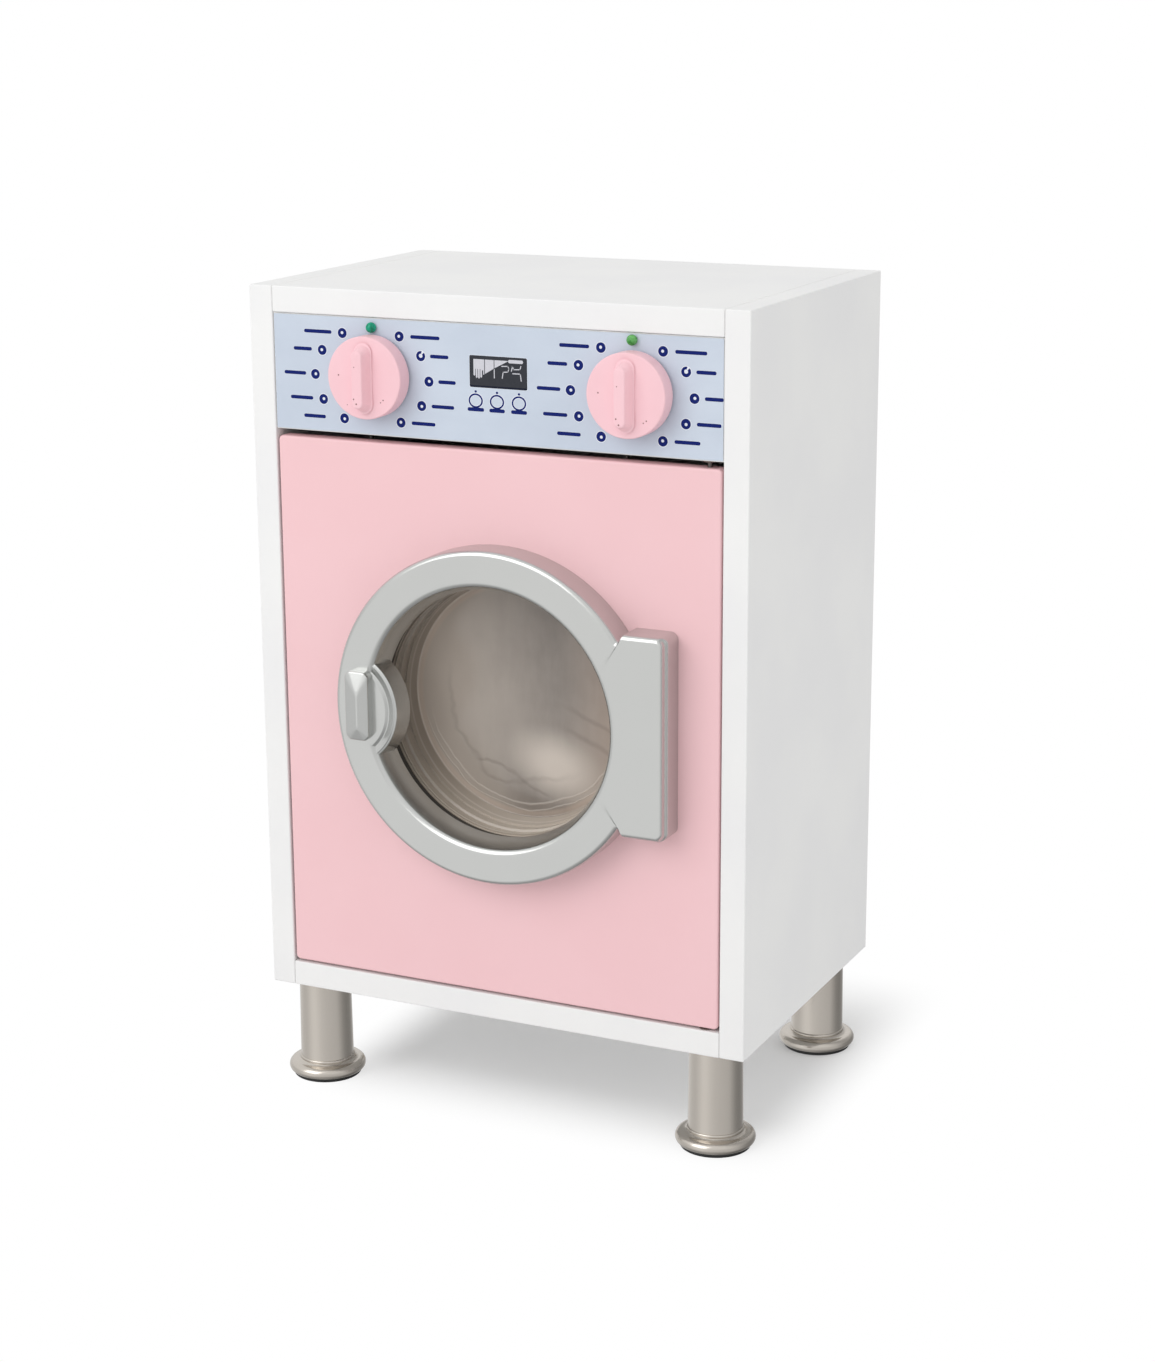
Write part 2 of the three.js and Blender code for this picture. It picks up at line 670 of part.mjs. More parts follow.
function makeDoor(cabinet) {
  const door = new THREE.Group();
  door.position.set(portholeOffset, doorSetback, portholeHeight);
  cabinet.add(door);
  const left = -doorHalfWidth - portholeOffset;
  const right = doorHalfWidth - portholeOffset;
  const low = doorBottom - portholeHeight;
  const high = doorTop - portholeHeight;
  const shape = outline([
    ...arc([right - doorCorner, low + doorCorner], doorCorner, 270, 360),
    ...arc([right - doorCorner, high - doorCorner], doorCorner, 0, 90),
    ...arc([left + doorCorner, high - doorCorner], doorCorner, 90, 180),
    ...arc([left + doorCorner, low + doorCorner], doorCorner, 180, 270),
  ]);
  const round = arc([0, 0], holeRadius, 0, -360, ringSegments).slice(0, -1);
  shape.holes.push(new THREE.Path(round.map(([x, z]) => new THREE.Vector2(x, z))));
  const blank = plate(shape, doorThickness, doorThickness, doorArris);

  const axisX = pivotX - portholeOffset;
  const pinHole = (from, to) => bar('z', pinRadius + seatGap, from, to).translate(axisX, pivotDepth, 0);
  const postPlaces = bossAnglesDeg.map(THREE.MathUtils.degToRad)
    .map((angle) => [bossCircle * Math.cos(angle), 0, bossCircle * Math.sin(angle)]);
  const screwHoles = postPlaces.map((place) =>
    bar('y', screwRadius + seatGap, -cutOverrun, doorThickness + cutOverrun).translate(...place));
  const strikePlaces = { upper: 1, lower: -1 };
  const strikePlace = (sign) => [
    strikeX - portholeOffset, 0, catchHeight - portholeHeight + (sign * strikeScrewSpacing) / 2];
  const strikeHoleEnd = doorThickness - smallScrewGrip - seatGap;
  const strikeHoles = Object.values(strikePlaces).map((sign) =>
    bar('y', smallScrewRadius + seatGap, strikeHoleEnd, doorThickness + cutOverrun)
      .translate(...strikePlace(sign)));
  const panel = cut(blank, pinHole(high - pinInDoor - seatGap, high + cutOverrun),
    pinHole(low - cutOverrun, low + pinInDoor + seatGap), ...screwHoles, ...strikeHoles);
  addMesh(door, 'door_panel', panel, pinkPaint);
  addMesh(door, 'porthole_shell', makePortholeShell(), silverPlastic);
  addMesh(door, 'window_bowl', makeWindowBowl(), smokyPlastic);

  postPlaces.forEach((place, i) => {
    const seat = doorThickness + glueLine;
    const screw = woodScrew(screwRadius, screwHeadRadius, screwHeadHeight, seat, seat + portholeScrewGrip);
    addMesh(door, `porthole_screw_${i + 1}`, screw, steel, place);
  });

  const pinPlace = [axisX, pivotDepth, 0];
  addMesh(door, 'pivot_pin_upper',
    bar('z', pinRadius, high - pinInDoor, high + doorTopGap + pinInBush), steel, pinPlace);
  addMesh(door, 'pivot_pin_lower',
    bar('z', pinRadius, low - doorBottomGap - pinInBush, low + pinInDoor), steel, pinPlace);

  const plateFront = doorThickness + glueLine;
  const strike = slab(
    [-strikeWidth / 2, plateFront, -strikeLength / 2],
    [strikeWidth / 2, plateFront + strikeThickness, strikeLength / 2],
  );
  const plateHoles = Object.values(strikePlaces).map((sign) =>
    bar('y', smallScrewRadius + seatGap, plateFront - cutOverrun, plateFront + strikeThickness + cutOverrun)
      .translate(0, 0, (sign * strikeScrewSpacing) / 2));
  addMesh(door, 'strike_plate', cut(strike, ...plateHoles), steel,
    [strikeX - portholeOffset, 0, catchHeight - portholeHeight]);
  Object.entries(strikePlaces).forEach(([which, sign]) => {
    const seat = plateFront + strikeThickness + glueLine;
    const headHeight = catchPlateGap / 2;
    const screw = woodScrew(smallScrewRadius, smallScrewHeadRadius, headHeight, seat,
      seat - doorThickness + smallScrewGrip);
    addMesh(door, `strike_screw_${which}`, screw, steel, strikePlace(sign));
  });
}

// Top-hat bush: the sleeve is let into the wood, the flange stands in the gap.
function makeBush() {
  return turnedZ([
    [bushBore, -bushFlangeThickness],
    [bushFlangeRadius, -bushFlangeThickness],
    [bushFlangeRadius, -glueLine],
    [bushRadius, -glueLine],
    [bushRadius, bushLength],
    [bushBore, bushLength],
    [bushBore, -bushFlangeThickness],
  ], bushSegments);
}

function makePivotBushes(cabinet) {
  addMesh(cabinet, 'pivot_bush_upper', makeBush(), blackPlastic, [pivotX, pivotY, controlBottom]);
  const lower = makeBush().rotateX(Math.PI);
  addMesh(cabinet, 'pivot_bush_lower', lower, blackPlastic, [pivotX, pivotY, boardThickness]);
}

// Magnetic catch on the inside of the left board, with its poles just behind the strike plate.
function makeCatch(cabinet) {
  const group = new THREE.Group();
  group.position.set(-innerHalfWidth, catchFront, catchHeight);
  cabinet.add(group);
  const housing = slab(
    [glueLine, 0, -catchLength / 2],
    [glueLine + catchWidth, catchDepth, catchLength / 2],
  );
  const magnetX = glueLine + catchWidth / 2;
  const pocket = slab(
    [magnetX - magnetWidth / 2 - seatGap, -cutOverrun, -magnetLength / 2 - seatGap],
    [magnetX + magnetWidth / 2 + seatGap, magnetDepth + seatGap, magnetLength / 2 + seatGap],
  );
  const screwHoles = [-1, 1].map((sign) =>
    bar('x', smallScrewRadius + seatGap, -cutOverrun, catchWidth + cutOverrun)
      .translate(0, catchDepth / 2, (sign * catchScrewSpacing) / 2));
  addMesh(group, 'catch_housing', cut(housing, pocket, ...screwHoles), creamPlastic);
  const magnet = slab(
    [magnetX - magnetWidth / 2, 0, -magnetLength / 2],
    [magnetX + magnetWidth / 2, magnetDepth, magnetLength / 2],
  );
  addMesh(group, 'catch_magnet', magnet, blackPlastic);
  Object.entries({ upper: 1, lower: -1 }).forEach(([which, sign]) => {
    const seat = 2 * glueLine + catchWidth;
    const screw = woodScrew(smallScrewRadius, smallScrewHeadRadius, smallScrewHeadHeight, seat,
      seat + smallScrewGrip).rotateZ(-Math.PI / 2);
    addMesh(group, `catch_screw_${which}`, screw, steel,
      [0, catchDepth / 2, (sign * catchScrewSpacing) / 2]);
  });
}

function makeLegTube() {
  const top = legHeight - seatGap;
  const inner = legTubeRadius - legTubeWall;
  return turnedZ([
    [inner, footHeight],
    [legTubeRadius, footHeight],
    [legTubeRadius, top],
    [inner, top],
    [inner, footHeight],
  ], legSegments);
}

// Plug in the tube's top with a stud that goes up into the bottom board.
function makeLegStud() {
  const top = legHeight - seatGap;
  const plugRadius = legTubeRadius - legTubeWall - seatGap;
  return turnedZ([
    [0, top - plugLength],
    [plugRadius, top - plugLength],
    [plugRadius, top],
    [studRadius, top],
    [studRadius, legHeight + studLength],
    [0, legHeight + studLength],
  ], legSegments);
}

// Foot: a collar under the tube, a hollow curve out to the flange, and a spigot inside the tube.
function makeLegFoot() {
  const top = footHeight - seatGap;
  const spigotRadius = legTubeRadius - legTubeWall - seatGap;
  const round = flangeRadius - flangeRound;
  const shoulder = flangeBottom + 2 * flangeRound;
  const collarFoot = top - collarHeight;
  return turnedZ([
    [0, flangeBottom],
    [round, flangeBottom],
    ...arc([round, flangeBottom + flangeRound], flangeRound, -90, 90, 2 * bevelSegments),
    [(collarRadius + round) / 2, shoulder + (collarFoot - shoulder) * footHollowShare],
    [collarRadius, collarFoot],
    [collarRadius, top],
    [spigotRadius, top],
    [spigotRadius, top + spigotLength],
    [0, top + spigotLength],
  ], legSegments);
}

function makeLegs(machine) {
  Object.entries({ left: -1, right: 1 }).forEach(([side, sign]) => {
    Object.entries(legYs).forEach(([end, y]) => {
      const leg = new THREE.Group();
      leg.position.set(sign * legX, y, 0);
      machine.add(leg);
      const where = `${end}_${side}`;
      addMesh(leg, `leg_tube_${where}`, makeLegTube(), steel);
      addMesh(leg, `leg_stud_${where}`, makeLegStud(), steel);
      addMesh(leg, `leg_foot_${where}`, makeLegFoot(), steel);
      const pad = bar('z', padRadius, 0, flangeBottom - glueLine, legSegments);
      addMesh(leg, `leg_pad_${where}`, pad, blackPlastic);
    });
  });
}

const machine = new THREE.Group();
machine.position.y = (frontReach - cabinetDepth - rearReach) / 2;
const cabinet = new THREE.Group();
cabinet.position.z = legHeight;
machine.add(cabinet);
makeBoards(cabinet);
makeControlPanel(cabinet);
makeDials(cabinet);
makeDoor(cabinet);
makePivotBushes(cabinet);
makeCatch(cabinet);
makeLegs(machine);

export default machine;
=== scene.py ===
# %% [markdown]
# # A toy washing machine in Blender
#
# This is a painted wooden play washing machine for a small child: a white cabinet on four steel
# legs, a pale blue panel with two pink dials, and a pink door with a silver porthole.
# The sizes and the moving parts come from a CAD model. Blender loads that model as a fixed frame
# and gives each part its real surface. So this script adds finishes and finer shapes, and moves
# nothing.

# %% Load the CAD frame
import math

import bmesh
import bpy
from mathutils import Matrix, Vector, noise


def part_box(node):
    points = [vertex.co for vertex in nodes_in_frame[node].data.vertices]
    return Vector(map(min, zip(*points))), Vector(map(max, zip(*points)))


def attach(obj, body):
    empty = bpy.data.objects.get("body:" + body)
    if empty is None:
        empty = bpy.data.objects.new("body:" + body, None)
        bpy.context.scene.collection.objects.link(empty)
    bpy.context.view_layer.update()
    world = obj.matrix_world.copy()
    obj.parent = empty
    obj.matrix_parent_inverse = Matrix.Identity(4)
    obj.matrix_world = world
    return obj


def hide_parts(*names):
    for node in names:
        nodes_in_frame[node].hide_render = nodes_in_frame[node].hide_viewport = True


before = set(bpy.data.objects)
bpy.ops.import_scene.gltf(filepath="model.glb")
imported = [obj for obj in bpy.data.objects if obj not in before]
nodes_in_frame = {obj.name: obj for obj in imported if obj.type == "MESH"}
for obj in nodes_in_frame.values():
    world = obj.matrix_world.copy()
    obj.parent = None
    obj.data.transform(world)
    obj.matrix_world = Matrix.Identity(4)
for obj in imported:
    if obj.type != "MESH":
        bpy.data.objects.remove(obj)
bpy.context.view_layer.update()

# %% [markdown]
# The CAD model counts in millimetres from the cabinet: x from its middle, y back from its front
# plane and z up from its underside. Blender counts in metres from the floor. One small function
# turns the first kind of place into the second, so all the sizes below can be read off a ruler.

# %% Places in the cabinet's own millimetres
MM = 0.001
cabinet_low, cabinet_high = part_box("side_board_left")
front_plane = cabinet_low.y
underside = cabinet_low.z
cabinet_middle_y = (cabinet_low.y + cabinet_high.y) / 2


def at(x, y, z):
    """A place in the cabinet's millimetres, in Blender's metres."""
    return Vector((x * MM, front_plane + y * MM, underside + z * MM))


print("front plane at y =", round(front_plane, 4), "underside at z =", round(underside, 4))

# %% [markdown]
# ## The camera
#
# The camera stands where the photographer stood: a little to the right of the front and a little
# above the middle. The angles were found by matching the cabinet's corners to the photograph. The
# focal length is written in pixels of the photograph and turned into Blender's millimetres.

# %% The camera at the photograph's angle
PHOTO_LONG_SIDE = 1362
focal_pixels = 2723
azimuth, elevation, roll = (math.radians(angle) for angle in (25.54, 14.89, -0.34))
camera_distance = 1.914
aim_right, aim_up = 0.0022, 0.1983

back = Vector((
    math.sin(azimuth) * math.cos(elevation),
    -math.cos(azimuth) * math.cos(elevation),
    math.sin(elevation),
))
level_right = Vector((math.cos(azimuth), math.sin(azimuth), 0))
level_up = back.cross(level_right)
right = level_right * math.cos(roll) + level_up * math.sin(roll)
up = level_up * math.cos(roll) - level_right * math.sin(roll)

camera_data = bpy.data.cameras.new("camera")
camera_data.sensor_width = 36
camera_data.lens = camera_data.sensor_width * focal_pixels / PHOTO_LONG_SIDE
camera = bpy.data.objects.new("camera", camera_data)
aim = Vector((0, cabinet_middle_y, underside)) + right * aim_right + up * aim_up
turn = Matrix((right, up, back)).transposed().to_4x4()
camera.matrix_world = Matrix.Translation(aim + back * camera_distance) @ turn
bpy.context.scene.collection.objects.link(camera)
bpy.context.scene.camera = camera
bpy.context.scene.view_settings.view_transform = "Standard"
print("lens", round(camera_data.lens, 2), "mm")

# %% [markdown]
# ## Writing shader maths as Python
#
# A material in Blender is a graph of nodes. Wiring nodes by hand makes long scripts, so this class
# wraps one output socket: adding or multiplying two of them adds a Math node, and the formula stays
# readable. The reflected forms let a plain number stand first, as in `1 - mask`.


# %% Sockets and nodes
class Socket:
    """One output socket of a node, for use in expressions."""

    def __init__(self, nodes, link):
        self.nodes = nodes
        self.link = link

    def maths(self, operation, first, second):
        return self.nodes.add(
            "Math", {"operation": operation}, {"Value": first, "Value_001": second})

    def __add__(self, other):
        return self.maths("ADD", self, other)

    def __radd__(self, other):
        return self.maths("ADD", other, self)

    def __sub__(self, other):
        return self.maths("SUBTRACT", self, other)

    def __rsub__(self, other):
        return self.maths("SUBTRACT", other, self)

    def __mul__(self, other):
        return self.maths("MULTIPLY", self, other)

    def __rmul__(self, other):
        return self.maths("MULTIPLY", other, self)


def find(sockets, key):
    """A socket by its place, its identifier or its name."""
    if isinstance(key, int):
        return sockets[key]
    for socket in sockets:
        if socket.identifier == key:
            return socket
    return sockets[key]


class Nodes:
    """The node graph of one material or world."""

    def __init__(self, tree):
        self.tree = tree
        tree.nodes.clear()

    def add(self, kind, settings=None, sockets=None, output=0):
        node = self.tree.nodes.new("ShaderNode" + kind)
        for key, value in (settings or {}).items():
            if key == "stops":
                ramp = node.color_ramp
                while len(ramp.elements) < len(value):
                    ramp.elements.new(1)
                for element, (position, colour) in zip(ramp.elements, value):
                    element.position = position
                    element.color = colour
            else:
                setattr(node, key, value)
        for key, value in (sockets or {}).items():
            socket = find(node.inputs, key)
            if isinstance(value, Socket):
                self.tree.links.new(value.link, socket)
            else:
                socket.default_value = value
        if len(node.outputs) == 0:
            return None
        return Socket(self, find(node.outputs, output))

    def mix(self, factor, first, second):
        """One colour into another."""
        return self.add("Mix", {"data_type": "RGBA"}, {
            "Factor_Float": factor, "A_Color": first, "B_Color": second}, "Result_Color")

    def stretched(self, place, scale, rotation=(0, 0, 0)):
        """A place with its axes scaled apart, so that a pattern on it comes out drawn-out."""
        return self.add("Mapping", {}, {"Vector": place, "Rotation": rotation, "Scale": scale})

    def noise(self, place, scale, detail=2, roughness=0.5):
        return self.add("TexNoise", {}, {
            "Vector": place, "Scale": scale, "Detail": detail, "Roughness": roughness})

    def steps(self, value, low, high):
        """0 below low, 1 above high, and a smooth change between."""
        return self.add("MapRange", {"interpolation_type": "SMOOTHSTEP"}, {
            "Value": value, "From Min": low, "From Max": high})

    def line(self, value, middle, half_width):
        """1 where a value is at its middle, fading to 0 on both sides."""
        away = self.add("Math", {"operation": "ABSOLUTE"}, {"Value": value - middle})
        return 1 - self.steps(away, 0, half_width)

    def reach(self, across, up):
        """How far a point lies from the middle that both offsets count from."""
        return self.add("Math", {"operation": "SQRT"}, {"Value": across * across + up * up})

    def split(self, vector):
        return [self.add("SeparateXYZ", {}, {"Vector": vector}, axis) for axis in "XYZ"]

    def bump(self, height, strength, distance):
        return self.add("Bump", {}, {
            "Height": height, "Strength": strength, "Distance": distance})

    def surface(self, sockets):
        shader = self.add("BsdfPrincipled", {}, sockets)
        self.add("OutputMaterial", {}, {"Surface": shader})


def srgb(red, green, blue):
    """A colour as it is picked from a picture, in the linear numbers that nodes use."""
    def linear(value):
        share = value / 255
        return share / 12.92 if share <= 0.04045 else ((share + 0.055) / 1.055) ** 2.4
    return (linear(red), linear(green), linear(blue), 1)


def new_material(name):
    """A material, its nodes, and the socket that says where on the object a point lies."""
    material = bpy.data.materials.new(name)
    material.use_nodes = True
    nodes = Nodes(material.node_tree)
    return material, nodes, nodes.add("TexCoord", {}, {}, "Object")


print("a mid grey of 128 is", round(srgb(128, 128, 128)[0], 3), "in linear light")

# %% [markdown]
# ## Light, floor and background
#
# A product photograph like this one is lit by large soft lamps in a white room. The world gives
# the even light of that room. To the camera it is plain white, which adds no light to the object.
# Metal needs something darker to reflect, or it looks like paper. So in reflections the room is
# white in front on the left and grey behind on the right, as if a curtain hung there: the list of
# greys below goes once round the object. One big soft lamp from the front, a little left, makes
# the front brighter than the right side and lays a soft shadow. A weak lamp on the right fills
# that side.

# %% The room's light
room_strength = 0.77
high_light, high_dark, high_dark_bearing, high_dark_width = 0.96, 0.5, 130, 0.25
low_to_high = (0.05, 0.35)
below, below_dark = (0.4, 0.9), 0.5
world = bpy.data.worlds.new("studio")
world.use_nodes = True
bpy.context.scene.world = world
sky = Nodes(world.node_tree)


def ray_is(nodes, *kinds):
    """1 for rays of these kinds and 0 for all others."""
    total = 0
    for kind in kinds:
        total = nodes.add("LightPath", {}, {}, "Is " + kind + " Ray") + total
    return nodes.add("Clamp", {}, {"Value": total})


def turn_share(degrees):
    """A bearing from -180 to 180 degrees as a share of the way round."""
    return degrees / 360 + 0.5


east, north, height = sky.split(sky.add("TexCoord", {}, {}, "Generated"))
bearing = east.maths("ARCTAN2", east, north * -1)
greys_round = [(-180, 0.6), (-150, 0.78), (-122, 0.86), (-89, 0.76), (-67, 0.75), (-49, 0.88),
               (-33, 1.0), (-18, 1.0), (-4, 0.92), (10, 0.84), (25, 0.79), (51, 0.74), (80, 0.69),
               (96, 0.52), (113, 0.36), (134, 0.3), (162, 0.34), (180, 0.6)]
round_share = bearing * (0.5 / math.pi) + 0.5
low_grey = sky.add("ValToRGB", {
    "stops": [(turn_share(degrees), (grey, grey, grey, 1)) for degrees, grey in greys_round]}, {
    "Fac": round_share})
dark_above = sky.line(round_share, turn_share(high_dark_bearing), high_dark_width)
high_grey = high_light - dark_above * high_dark
reflected = low_grey + (high_grey - low_grey) * sky.steps(height, *low_to_high)
reflected = reflected * (1 - sky.steps(height * -1, *below) * below_dark)
seen = ray_is(sky, "Camera", "Transmission")
mirrored = ray_is(sky, "Glossy") * (1 - seen)
strength = seen * (1 - room_strength) + room_strength + mirrored * (reflected - room_strength)
room = sky.add("Background", {}, {"Color": srgb(255, 255, 255), "Strength": strength})
sky.add("OutputWorld", {}, {"Surface": room})


def soft_lamp(name, place, target, size, power):
    data = bpy.data.lights.new(name, "AREA")
    data.shape = "SQUARE"
    data.size = size
    data.energy = power
    lamp = bpy.data.objects.new(name, data)
    lamp.location = place
    lamp.rotation_euler = (Vector(target) - Vector(place)).to_track_quat("-Z", "Y").to_euler()
    bpy.context.scene.collection.objects.link(lamp)
    return lamp


lamp_target = (0, 0, 0.3)
soft_lamp("key lamp", place=(-1.1, -2.4, 1.9), target=lamp_target, size=2.3, power=31)
fill = soft_lamp("fill lamp", place=(3.0, -0.2, 1.2), target=lamp_target, size=2, power=10)
fill.visible_glossy = False

# %% [markdown]
# The floor is pale paper. Plainly lit it would come out grey, so to the camera it glows white,
# except in a soft rectangle under and behind the cabinet, where most of what shows is the real
# light with its shadow. The floor is hidden from reflections, and so is the weak lamp, because a
# flat white sheet mirrored in the legs would hide that they are round.

# %% The floor
floor_size = 30
paper_grey, near_white = 0.8, 0.22
shade_across = ((-0.165, -0.105), (0.15, 0.212))
shade_deep = ((-0.125, -0.025), (0.13, 0.26))
floor_mesh = bpy.data.meshes.new("floor")
floor_corners = [(x * floor_size, y * floor_size, 0)
                 for x, y in ((-1, -1), (1, -1), (1, 1), (-1, 1))]
floor_mesh.from_pydata(floor_corners, [], [(0, 1, 2, 3)])
floor = bpy.data.objects.new("floor", floor_mesh)
bpy.context.scene.collection.objects.link(floor)
floor_material, paper, floor_place = new_material("studio floor")
lit = paper.add("BsdfDiffuse", {}, {"Color": (paper_grey, paper_grey, paper_grey, 1)})
across, deep, _ = paper.split(floor_place)
shade = paper.steps(across, *shade_across[0]) - paper.steps(across, *shade_across[1])
shade = shade * (paper.steps(deep, *shade_deep[0]) - paper.steps(deep, *shade_deep[1]))
white = 1 - shade * (1 - near_white)
glow = paper.add("Emission", {}, {"Color": srgb(255, 255, 255), "Strength": 1})
both = paper.add("MixShader", {}, {
    0: ray_is(paper, "Camera", "Transmission") * white, 1: lit, 2: glow})
paper.add("OutputMaterial", {}, {"Surface": both})
floor_mesh.materials.append(floor_material)
floor.visible_glossy = False
print("floor", 2 * floor_size, "m across, shade on it from", shade_across[0][0], "to",
      shade_across[1][1], "m")

# %% [markdown]
# ## Finishes
#
# Each finish starts from the colour that the real thing shows and gets the small things that tell
# the eye what it is: the fine stipple that a paint roller leaves, cloudy tone in a print, brushing
# on nickel. Their scales are real, in marks per metre. Paint comes first: two tones of one colour
# in soft clouds, and a bump so weak that it only takes the mirror out of the highlights.


# %% Painted wood
def painted(name, colour, second_colour, gloss):
    material, n, place = new_material(name)
    clouds = n.noise(place, 11, 3)
    stipple = n.noise(place, 1100, 2)
    ripple = n.noise(place, 90, 2)
    height = stipple + ripple * 2
    n.surface({
        "Base Color": n.mix(n.steps(clouds, 0.35, 0.65), colour, second_colour),
        "Roughness": gloss + clouds * 0.08,
        "Specular IOR Level": 0.35,
        "Normal": n.bump(height, 0.05, 0.0004),
    })
    return material


white_paint = painted("white satin paint", srgb(239, 239, 239), srgb(242, 242, 241), 0.42)
pink_paint = painted("pink satin paint", srgb(243, 200, 204), srgb(244, 202, 206), 0.36)
cream_paint = painted("board paint", srgb(240, 240, 237), srgb(244, 244, 242), 0.45)
print("paints:", white_paint.name, pink_paint.name, cream_paint.name)

# %% [markdown]
# Inside, the blocks are bare softwood and the back is hardboard with a white face. Softwood is
# bands of early and late wood, pulled long in the direction of the grain, with fine fibres over
# them. Hardboard is pressed fibre, so it gets no direction, only fine and coarse blotches.


# %% Bare wood and hardboard
def bare_softwood():
    material, n, place = new_material("bare softwood")
    rings = n.add("TexWave", {"wave_type": "BANDS", "bands_direction": "X"}, {
        "Vector": n.stretched(place, (60, 60, 4)), "Scale": 1.2, "Distortion": 3, "Detail": 3})
    fibres = n.noise(n.stretched(place, (900, 900, 30)), 1, 3)
    grain = n.steps(rings, 0.2, 0.9) * 0.7 + fibres * 0.3
    n.surface({
        "Base Color": n.mix(grain, srgb(226, 197, 152), srgb(196, 158, 108)),
        "Roughness": 0.62 + fibres * 0.15,
        "Normal": n.bump(fibres, 0.2, 0.0003),
    })
    return material


def white_hardboard():
    material, n, place = new_material("white-faced hardboard")
    fibres = n.noise(place, 420, 4, 0.65)
    blotches = n.noise(place, 14, 3)
    n.surface({
        "Base Color": n.mix(
            fibres * 0.6 + blotches * 0.4, srgb(228, 226, 221), srgb(239, 237, 233)),
        "Roughness": 0.55 + fibres * 0.12,
        "Normal": n.bump(fibres, 0.12, 0.0004),
    })
    return material


bare_wood = bare_softwood()
hardboard = white_hardboard()
print("woods:", bare_wood.name, hardboard.name)

# %% [markdown]
# Moulded plastic has a fine grain from its tool. Nickel and steel are real metals in Blender's
# sense, so their colour comes almost wholly from what they reflect, and thin lines along the tube
# break that up. The porthole is plastic painted silver: metal flakes in a smooth coat, and so
# metallic, but with a texture of dots and no lines.


# %% Plastics and metals
def moulded(name, colour, second_colour, gloss):
    material, n, place = new_material(name)
    texture = n.noise(place, 900, 2)
    flow = n.noise(place, 40, 3)
    n.surface({
        "Base Color": n.mix(flow, colour, second_colour),
        "Roughness": gloss + texture * 0.1,
        "Normal": n.bump(texture, 0.08, 0.0002),
    })
    return material


def brushed_metal(name, colour, second_colour, gloss, stretch):
    """Metal with fine parallel brushing; stretch is how much finer it is along each axis."""
    material, n, place = new_material(name)
    lines = n.noise(n.stretched(place, stretch), 1, 3)
    smudges = n.noise(place, 35, 3)
    n.surface({
        "Base Color": n.mix(lines * 0.5 + smudges * 0.5, colour, second_colour),
        "Metallic": 1.0,
        "Roughness": gloss + lines * 0.06 + smudges * 0.05,
        "Normal": n.bump(lines, 0.02, 0.0001),
    })
    return material


def silver_paint():
    material, n, place = new_material("silver plastic")
    flakes = n.noise(place, 2600, 1)
    flow = n.noise(place, 18, 3)
    n.surface({
        "Base Color": n.mix(flow, srgb(198, 199, 197), srgb(203, 204, 202)),
        "Metallic": 0.96,
        "Roughness": 0.2 + flow * 0.06 + flakes * 0.04,
        "Normal": n.bump(flakes, 0.05, 0.0001),
    })
    return material


silver_plastic = silver_paint()
cream_plastic = moulded("cream plastic", srgb(222, 217, 204), srgb(230, 226, 214), 0.42)
black_plastic = moulded("black plastic", srgb(22, 22, 22), srgb(34, 34, 34), 0.55)
bush_plastic = moulded("brown-black plastic", srgb(92, 72, 68), srgb(108, 86, 80), 0.5)
nickel = brushed_metal("brushed nickel", srgb(197, 190, 181), srgb(203, 197, 189), 0.19,
                       (700, 700, 40))
steel = brushed_metal("bright steel", srgb(190, 188, 184), srgb(205, 203, 200), 0.22,
                      (700, 700, 700))
dark_steel = brushed_metal("dark steel", srgb(92, 90, 88), srgb(108, 105, 102), 0.4,
                           (700, 700, 700))
print("plastics and metals:", silver_plastic.name, nickel.name, steel.name, dark_steel.name)

# %% [markdown]
# The beads are glass, which here is opaque colour under a sharp gloss. The panel's film is printed
# in a soft pale blue that drifts a little, and inks lie on it in flat colours with hardly any
# shine of their own.


# %% Green beads, ink and the printed panel
def glossy_bead(name, colour, second_colour):
    material, n, place = new_material(name)
    swirl = n.noise(place, 420, 3)
    n.surface({
        "Base Color": n.mix(n.steps(swirl, 0.35, 0.7), colour, second_colour),
        "Roughness": 0.08 + swirl * 0.06,
        "Specular IOR Level": 0.35,
    })
    return material


def flat_ink(name, colour, second_colour, gloss=0.4):
    material, n, place = new_material(name)
    mottle = n.noise(place, 700, 3)
    n.surface({
        "Base Color": n.mix(mottle, colour, second_colour),
        "Roughness": gloss + mottle * 0.1,
        "Specular IOR Level": 0.12,
    })
    return material


def printed_panel():
    """Pale blue film with a soft cloudy print, satin, with a faint ripple."""
    material, n, place = new_material("pale blue print")
    clouds = n.noise(place, 13, 4, 0.55)
    drift = n.noise(n.stretched(place, (7, 7, 22)), 1, 3)
    tone = n.steps(clouds * 0.5 + drift * 0.5, 0.38, 0.62)
    dots = n.noise(place, 1500, 1)
    n.surface({
        "Base Color": n.mix(tone, srgb(197, 207, 221), srgb(205, 215, 228)),
        "Roughness": 0.34 + dots * 0.08,
        "Specular IOR Level": 0.3,
        "Normal": n.bump(drift, 0.04, 0.0015),
    })
    return material


blue_print = printed_panel()
navy_ink = flat_ink("navy ink", srgb(8, 24, 96), srgb(16, 36, 112))
pale_ink = flat_ink("white ink", srgb(226, 232, 241), srgb(232, 237, 245))
frame_ink = flat_ink("display frame black", srgb(20, 24, 40), srgb(28, 32, 48), 0.25)
display_ink = flat_ink("display dark grey", srgb(50, 52, 58), srgb(60, 62, 68), 0.25)
display_glow = flat_ink("display pale grey", srgb(200, 200, 208), srgb(214, 214, 221), 0.3)
teal_bead = glossy_bead("teal glass bead", srgb(0, 124, 92), srgb(0, 172, 134))
leaf_bead = glossy_bead("leaf green glass bead", srgb(52, 134, 52), srgb(112, 186, 106))
print("inks:", navy_ink.name, pale_ink.name, display_ink.name)

